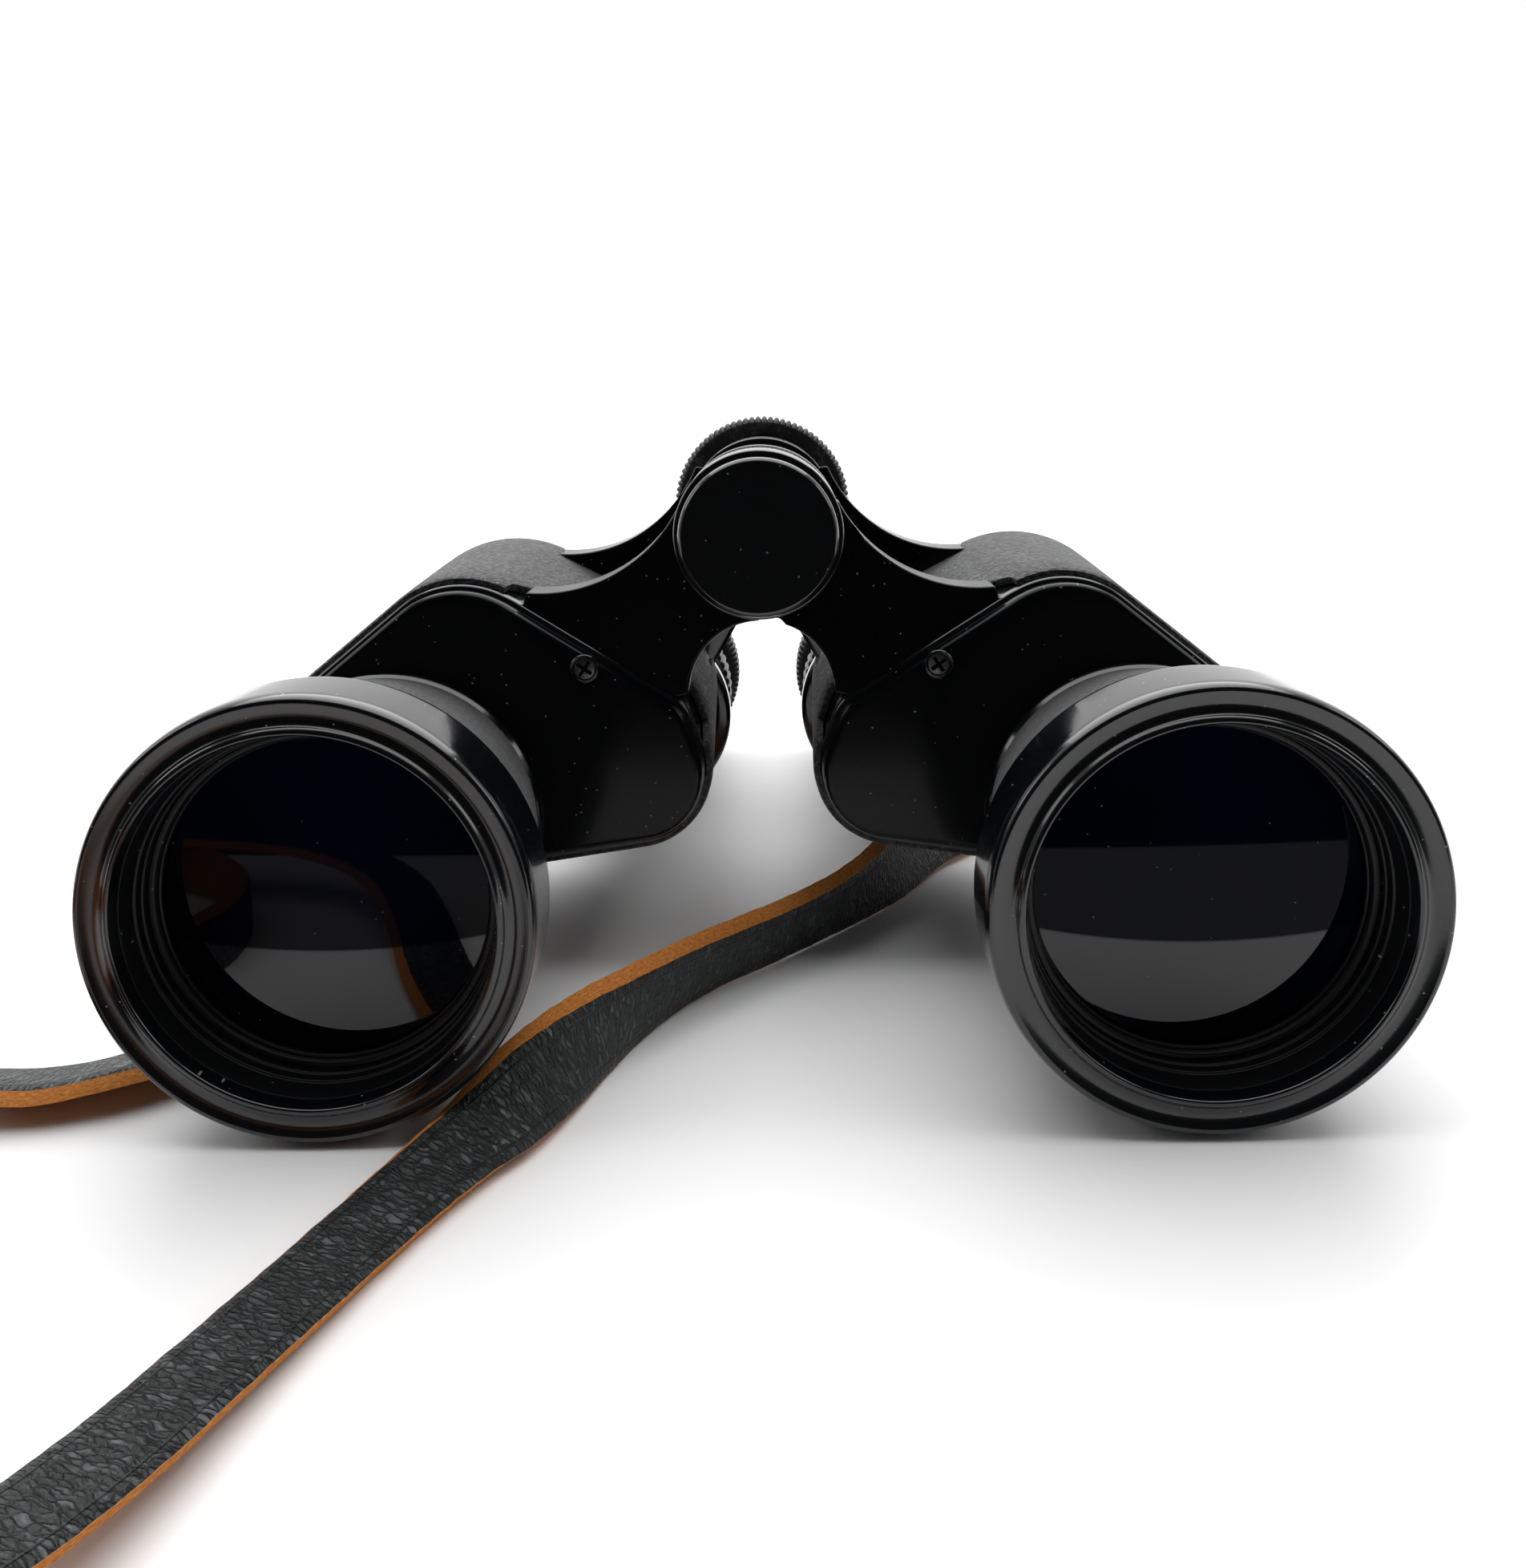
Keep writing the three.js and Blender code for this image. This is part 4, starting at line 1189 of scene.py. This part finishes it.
    def cup(self) -> None:
        """The eyecup: a knurled base ring, a hollow waist, a flared flat rim and a deep cone inside."""
        profile = softened([
            (14.9, 148.2, 0.1), (19.2, 148.2, 0.5), (20.7, 149.6, 0.6), (20.7, 154.8, 0.7), (19.6, 156.0, 0.5),
            (18.7, 157.6, 1.2), (18.3, 163.0, 2.0), (18.9, 167.2, 0.7), (18.5, 168.0, 0.5), (16.9, 168.0, 0.5),
            (16.2, 164.0, 1.5), (14.9, 153.0, 0.6)], steps=7)
        surface = turned(profile, self.axis, 96 * 6, teeth=96, depth=0.45, grip_from=20.2)
        self.add("eye_cup", surface, self.shop.palette.resin, self.ocular, "eyecup", sharp=45.0)


# ---------------------------------------------------------------- the strap


@dataclass
class Strap:
    """The neck strap: one flat leather strap from lug to lug, and its stitched ends.

    A control point is x, y, z of the strap's middle in millimetres in the row frame, and how far it is
    turned about its own line in degrees: 0 lies flat with its grain up, 90 stands with its grain to the
    left of its run. The skive is how far one edge's flesh side reaches past its grain side, and the
    undercut is how far the other's stays behind.
    """

    shop: Workshop
    width: float = 12.0
    thick: float = 2.2
    skive: float = 1.6
    undercut: float = 0.9
    coil_centre: Tuple[float, float] = (-160.0, -130.0)
    coil_start: float = 52.4
    coil_pitch: float = 4.4
    coil_turns: float = 1.5

    def lie(self, degrees: float) -> float:
        """The height of the middle of a strap that touches the table at that turn."""
        a = math.radians(degrees)
        return 0.1 + self.width / 2 * abs(math.sin(a)) + self.thick / 2 * abs(math.cos(a))

    def route(self) -> np.ndarray:
        """The control points, from the right lug to the left one, as rows of x, y, z, turn."""
        run = [
            (98.6, -7.4, 17.6, 0.0), (99.8, -1.0, 9.6, 0.0), (101.0, 6.0, 5.0, 0.0), (100.5, 15.0, 2.6, 3.0),
            (94.0, 25.0, self.lie(6), 6.0), (80.0, 32.5, self.lie(10), 10.0), (62.0, 31.5, self.lie(14), 14.0),
            (46.0, 22.0, self.lie(22), 22.0), (33.0, 9.0, self.lie(50), 50.0), (25.0, -7.0, self.lie(80), 80.0),
            (16.6, -19.0, self.lie(100), 100.0), (9.2, -27.4, self.lie(108), 108.0),
            (1.0, -35.4, self.lie(110), 110.0), (-7.0, -42.4, self.lie(110), 110.0),
            (-14.2, -50.2, self.lie(105), 105.0), (-20.4, -58.8, self.lie(95), 95.0),
            (-25.8, -67.4, self.lie(78), 78.0), (-31.2, -75.9, self.lie(54), 54.0),
            (-36.9, -84.1, self.lie(27), 27.0), (-43.0, -91.8, self.lie(10), 10.0),
            (-50.4, -105.0, self.lie(3), 3.0), (-58.6, -123.9, 2.4, 0.0), (-66.1, -144.1, 4.9, 0.0),
            (-74.0, -160.0, 8.2, 0.0), (-84.5, -172.0, 10.6, 0.0), (-98.0, -179.5, 12.4, 0.0),
            (-113.0, -183.0, 13.4, 2.0), (-129.0, -184.0, 13.8, 4.0), (-146.0, -183.4, 14.0, 10.0)]
        turn = np.linspace(0.03, self.coil_turns, 44)
        angle = -math.pi / 2 - TURN * turn
        radius = self.coil_start + self.coil_pitch * turn
        settle = smooth((turn - 0.02) / 0.2)
        above, tilt = 13.6, 12.0  # where the coil starts: over its own first turn, and nearly flat
        coil = np.column_stack([
            self.coil_centre[0] + radius * np.cos(angle), self.coil_centre[1] + radius * np.sin(angle),
            above + (self.lie(90) - above) * settle, tilt + (90.0 - tilt) * settle])
        back = [
            (-146.0, -71.3, self.lie(84), 84.0), (-132.0, -71.8, self.lie(58), 58.0),
            (-120.0, -72.6, self.lie(28), 28.0), (-109.0, -72.6, self.lie(16), 16.0),
            (-98.5, -69.2, self.lie(17), 17.0), (-89.5, -61.0, self.lie(12), 12.0),
            (-86.5, -49.5, self.lie(4), 4.0), (-89.5, -37.0, 2.6, 0.0), (-95.0, -27.0, 4.8, 0.0),
            (-98.6, -18.0, 9.2, 0.0), (-98.5, -10.0, 17.6, 0.0)]
        return np.vstack([run, coil, back])

    def line(self, per_span: int = 9) -> Tuple[np.ndarray, np.ndarray]:
        """The strap's middle and its turn, evenly spaced on a curve through the control points.

        The curve between points b and c, with a and d beyond, is the Catmull-Rom cubic of a, b, c, d.

        Args:
            per_span: points on each cubic, before they are spaced evenly.

        Returns:
            The middle's points in millimetres, and the turn at each in radians.
        """
        knots = self.route()
        ends = np.vstack([2 * knots[0] - knots[1], knots, 2 * knots[-1] - knots[-2]])
        a, b, c, d = ends[:-3, None], ends[1:-2, None], ends[2:-1, None], ends[3:, None]
        t = np.linspace(0.0, 1.0, per_span, endpoint=False)[None, :, None]
        cubic = 0.5 * (2 * b + (c - a) * t + (2 * a - 5 * b + 4 * c - d) * t**2
                       + (3 * b - a - 3 * c + d) * t**3)
        curve = np.vstack([cubic.reshape(-1, 4), knots[-1:]])
        along = np.r_[0.0, np.cumsum(np.linalg.norm(np.diff(curve[:, :3], axis=0), axis=1))]
        even = np.linspace(0.0, along[-1], 760)
        laid = np.column_stack([np.interp(even, along, curve[:, k]) for k in range(4)])
        return laid[:, :3], np.radians(laid[:, 3])

    def section(self, count: int = 15) -> Tuple[np.ndarray, np.ndarray]:
        """The strap's section: the grain side is crowned and rolls over at both edges.

        Args:
            count: points on its grain side and on its flesh side.

        Returns:
            The points as (across, up), and for each 1 on a cut edge, 0 on the grain and 0.6 on the flesh.
        """
        half, rise = self.width / 2, self.thick / 2
        v = np.linspace(-1.0, 1.0, count)
        side = np.linspace(0.0, 1.0, 7)
        drop = 0.35
        edge_top, edge_height = rise - drop - 0.1, self.thick - drop - 0.1
        top = np.column_stack([v * (half - 0.1), rise - drop * np.abs(v) ** 9])
        skived = np.column_stack([half + self.skive * side + 0.1 * np.sin(side * math.pi),
                                  edge_top - edge_height * side])
        low = np.linspace(half + self.skive - 0.3, -half + self.undercut + 0.2, count)
        bottom = np.column_stack([low, np.full(count, -rise)])
        cut = side[::-1]
        under = np.column_stack([-half + self.undercut * cut, edge_top - edge_height * cut])
        mark = np.concatenate([np.zeros(count), np.ones(7), np.full(count, 0.6), np.ones(7)])
        return np.vstack([top, skived, bottom, under]), mark

    def make(self) -> bpy.types.Object:
        """Builds the strap along its line.

        The section's axes are across = flat cos t + over sin t and up = over cos t - flat sin t, where flat is
        level and across the run, over is square to both, and t is the strap's turn. Its width varies by two
        products of sines of the step along it, as a cut edge does.

        Returns:
            The strap's object, still without a material.
        """
        middle, turn = self.line()
        run = np.gradient(middle, axis=0)
        run /= np.linalg.norm(run, axis=1)[:, None]
        flat = np.cross(run, [0.0, 0.0, 1.0])
        steep = np.linalg.norm(flat, axis=1)
        flat = flat / np.maximum(steep, 1e-6)[:, None]
        over = np.cross(flat, run)
        cos, sin = np.cos(turn)[:, None], np.sin(turn)[:, None]
        across = flat * cos + over * sin
        up = over * cos - flat * sin
        section, cut = self.section()
        step = np.arange(len(middle))[:, None]
        way = np.sign(section[None, :, 0])
        ragged = 0.07 * np.sin(step * 0.9 + way) * np.sin(step * 0.173 + 2 * way)
        ragged = ragged + 0.05 * np.sin(step * 2.3 + 3 * way)
        wide = section[None, :, 0] * (1 + ragged / self.width * 2)
        points = middle[:, None] + across[:, None] * wide[..., None] + up[:, None] * section[None, :, 1:]
        count = len(section)
        faces = grid_faces(len(middle), count, False, True)
        last = (len(middle) - 1) * count
        caps = (tuple(range(count)), tuple(range(last, last + count)))
        return self.leather_object("strap", points.reshape(-1, 3) * MM, faces, caps, middle, section, cut)

    def leather_object(self, name: str, points: np.ndarray, faces: np.ndarray,
                       caps: Tuple[Tuple[int, ...], ...], middle: np.ndarray, section: np.ndarray,
                       cut: np.ndarray) -> bpy.types.Object:
        """A leather piece whose uv runs along and across it and whose cut edges are marked.

        Args:
            name: the piece's name.
            points: its vertices in metres, one section after another.
            faces: four-cornered faces.
            caps: faces with many corners.
            middle: the line that the sections follow, in millimetres.
            section: (across, up) of a section's points.
            cut: how far each of them is a cut edge, 0 to 1.

        Returns:
            The object.
        """
        mesh = bpy.data.meshes.new(name)
        mesh.from_pydata(points.tolist(), [], faces.tolist() + [list(c) for c in caps])
        along = np.r_[0.0, np.cumsum(np.linalg.norm(np.diff(middle, axis=0), axis=1))] * MM
        vertex_uv = np.stack([np.repeat(along, len(section)), np.tile(section[:, 0] * MM, len(middle))], -1)
        corner = np.zeros(len(mesh.loops), np.int32)
        mesh.loops.foreach_get("vertex_index", corner)
        layer = mesh.uv_layers.new(name="strap")
        layer.data.foreach_set("uv", vertex_uv[corner].astype(np.float32).ravel())
        mark = mesh.attributes.new("cut", "FLOAT", "POINT")
        mark.data.foreach_set("value", np.tile(cut, len(middle)).astype(np.float32))
        mesh.shade_smooth()
        mesh.set_sharp_from_angle(angle=math.radians(50))
        made = bpy.data.objects.new(name, mesh)
        bpy.context.scene.collection.objects.link(made)
        return made

    def end_piece(self, side: Side) -> bpy.types.Object:
        """The strap's end, folded round the lug's bar: a closed band in x and z, pulled along y.

        Args:
            side: which lug it is on.

        Returns:
            The object, still without a material.
        """
        x0, z0, rise = 95.9, 38.0, self.thick - 0.3
        angle = np.linspace(0.0, math.pi, 14)
        legs = [(4.0, z0 - 6.0), (4.0, z0 + 2.6)]
        outer = np.vstack([[(rise, z0 - 13.8), (rise, z0 - 11.0)], legs,
                           np.column_stack([4.0 * np.cos(angle), z0 + 3.0 + 4.0 * np.sin(angle)]),
                           [(-4.0, z0 + 2.6), (-4.0, z0 - 6.0), (-rise, z0 - 11.0), (-rise, z0 - 13.8)]])
        inner_x = np.sign(outer[:, 0]) * np.maximum(np.abs(outer[:, 0]) - rise, 0.0)
        inner = np.column_stack([inner_x, np.minimum(outer[:, 1], z0 + 3.0 + 1.4)])
        bend = slice(4, 4 + len(angle))
        inner[bend] = np.column_stack([1.6 * np.cos(angle), z0 + 3.0 + 1.6 * np.sin(angle)])
        half = self.width / 2
        rows = [(inner, -half), (outer, -half), (outer, half), (inner, half)]
        count = len(outer)
        bands = [np.column_stack([x0 + r[:, 0], np.full(count, 76.0 + y), r[:, 1]]) for r, y in rows]
        points = np.stack(bands, 1)
        faces = grid_faces(count, 4, False, True)
        caps = ((0, 1, 2, 3), tuple(range(4 * count - 4, 4 * count)))
        local = points.reshape(-1, 3) * np.array([side.value, 1.0, 1.0])
        middle = np.column_stack([outer[:, 0], np.zeros(count), outer[:, 1]])
        section = np.array([[-half, 0.0], [-half, 0.0], [half, 0.0], [half, 0.0]])
        return self.leather_object(f"{side.word}_strap_fold", self.shop.place.points(local), faces, caps,
                                   middle, section, np.zeros(4))

    def lay(self) -> None:
        strap = self.make()
        material = self.shop.palette.material(self.shop.palette.leather)
        middle, _ = self.line()
        for side, body in ((Side.LEFT, Body.LEFT_HALF), (Side.RIGHT, Body.RIGHT_HALF)):
            end = self.end_piece(side)
            self.shop.dress(end, self.shop.palette.leather, body, [f"{side.word}_strap_end"])
        strap.data.materials.append(material)
        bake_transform(strap)
        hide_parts("strap_left_run", "strap_front_run", "strap_edge_run", "strap_back_run",
                    "strap_coil")
        self.width * MM


# ---------------------------------------------------------------- the studio


@dataclass
class Studio:
    """The camera, the table, the lights and the surroundings.

    The eye is a place on the barrels' own axes in millimetres, and the angles are in degrees.
    """

    shop: Workshop
    focal: float = 31.96
    eye: Tuple[float, float, float] = (3.45, -182.5, 106.1)
    pitch: float = 6.756
    yaw: float = -0.707
    roll: float = -0.91
    shift: float = -0.155

    def camera(self) -> None:
        """The camera, stated on the barrels' own axes: it looks along them, a little down."""
        p, y, r = (math.radians(v) for v in (self.pitch, self.yaw, self.roll))
        ahead = np.array([math.sin(y) * math.cos(p), math.cos(y) * math.cos(p), -math.sin(p)])
        right = np.array([math.cos(y), -math.sin(y), 0.0])
        up = np.cross(right, ahead)
        rolled_right = math.cos(r) * right + math.sin(r) * up
        rolled_up = -math.sin(r) * right + math.cos(r) * up
        axes = self.shop.place.turn(np.stack([rolled_right, rolled_up, -ahead]))
        place = self.shop.place.points(np.array([self.eye]))[0]
        data = bpy.data.cameras.new("camera")
        data.lens = self.focal
        data.sensor_width = 36.0
        data.shift_y = self.shift
        data.clip_start = 0.005
        made = bpy.data.objects.new("camera", data)
        matrix = Matrix.Identity(4)
        for column in range(3):
            for row in range(3):
                matrix[row][column] = axes[column][row]
            matrix[column][3] = place[column]
        made.matrix_world = matrix
        bpy.context.scene.collection.objects.link(made)
        bpy.context.scene.camera = made

    def light(self, name: str, energy: float, place: Tuple[float, float, float],
              aim: Tuple[float, float, float], size: Tuple[float, float]) -> None:
        """A rectangular soft light that faces a point.

        Args:
            name: the light's name.
            energy: its power in watts.
            place: where it stands, in metres.
            aim: the point that it faces.
            size: its two sides in metres.
        """
        data = bpy.data.lights.new(name, "AREA")
        data.shape = "RECTANGLE"
        data.size, data.size_y = size
        data.energy = energy
        made = bpy.data.objects.new(name, data)
        away = np.array(place) - np.array(aim)
        away = away / np.linalg.norm(away)
        side = np.cross([0.0, 1.0, 0.0] if abs(away[2]) > 0.9 else [0.0, 0.0, 1.0], away)
        side = side / np.linalg.norm(side)
        up = np.cross(away, side)
        matrix = Matrix.Identity(4)
        for column, vector in enumerate((side, up, away, place)):
            for row in range(3):
                matrix[row][column] = vector[row]
        made.matrix_world = matrix
        bpy.context.scene.collection.objects.link(made)

    def surroundings(self) -> None:
        """A room by direction: white behind the object, grey overhead, dark on the viewer's side."""
        world = bpy.data.worlds.new("room")
        bpy.context.scene.world = world
        world.use_nodes = True
        tree = world.node_tree
        tree.nodes.clear()
        out = tree.nodes.new("ShaderNodeOutputWorld")
        sky = tree.nodes.new("ShaderNodeBackground")
        coord = tree.nodes.new("ShaderNodeTexCoord")
        split = tree.nodes.new("ShaderNodeSeparateXYZ")
        ramp = tree.nodes.new("ShaderNodeMapRange")
        ramp.inputs["From Min"].default_value = -0.55
        ramp.inputs["From Max"].default_value = 0.45
        ramp.inputs["To Min"].default_value = 0.03
        ramp.inputs["To Max"].default_value = 1.1
        tree.links.new(coord.outputs["Generated"], split.inputs[0])
        tree.links.new(split.outputs["Y"], ramp.inputs["Value"])
        tree.links.new(ramp.outputs[0], sky.inputs["Strength"])
        tree.links.new(sky.outputs[0], out.inputs[0])
        sky.inputs["Color"].default_value = (1.0, 1.0, 1.0, 1.0)

    def table(self) -> None:
        """The table: a wide slab with rounded corners and its top at z = 0."""
        half, near, far, round_by = 1.1, -0.222, 1.5, 0.1
        corners = [(half, near, round_by), (half, far, round_by),
                   (-half, far, round_by), (-half, near, round_by)]
        outline = softened(corners, 12)
        rings = [np.column_stack([outline, np.full(len(outline), z)]) for z in (0.0, -0.025)]
        count = len(outline)
        caps = (tuple(range(count)), tuple(range(count, 2 * count)))
        slab = self.shop.mesh_object("table", np.vstack(rings), grid_faces(2, count, False, True), caps, 30.0)
        slab.data.materials.append(self.shop.palette.material(self.shop.palette.table))

    def make(self) -> None:
        """Sets up the whole studio."""
        self.camera()
        self.table()
        self.surroundings()
        self.light("overhead", 34.0, (0.0, 0.75, 1.15), (0.0, 0.6, 0.0), (2.0, 2.3))
        self.light("left_window", 2.0, (-1.2, -0.1, 0.7), (0.0, 0.0, 0.03), (0.5, 0.5))
        self.light("right_window", 2.0, (1.2, -0.1, 0.7), (0.0, 0.0, 0.03), (0.5, 0.5))
        bpy.context.scene.view_settings.view_transform = "Standard"


def build() -> None:
    """Builds the scene in order."""
    logging.basicConfig(level=logging.INFO, format="%(message)s")
    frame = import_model()
    shop = Workshop(frame)
    Studio(shop).make()
    Strap(shop).lay()
    for side, half, carrier, ring, ocular, node in (
            (Side.LEFT, Body.LEFT_HALF, Body.LEFT_EYEPIECE, Body.LEFT_EYEPIECE, Body.LEFT_EYEPIECE,
             "barrel_ring"),
            (Side.RIGHT, Body.RIGHT_HALF, Body.RIGHT_EYEPIECE, Body.DIOPTRE, Body.RIGHT_OCULAR,
             "dioptre_ring")):
        Barrel(shop, side, half).make()
        Housing(shop, side, half).make()
        Eyepiece(shop, side, half, carrier, ring, ocular, node).make()
    Hinge(shop).make()


if __name__ == "__main__":
    build()
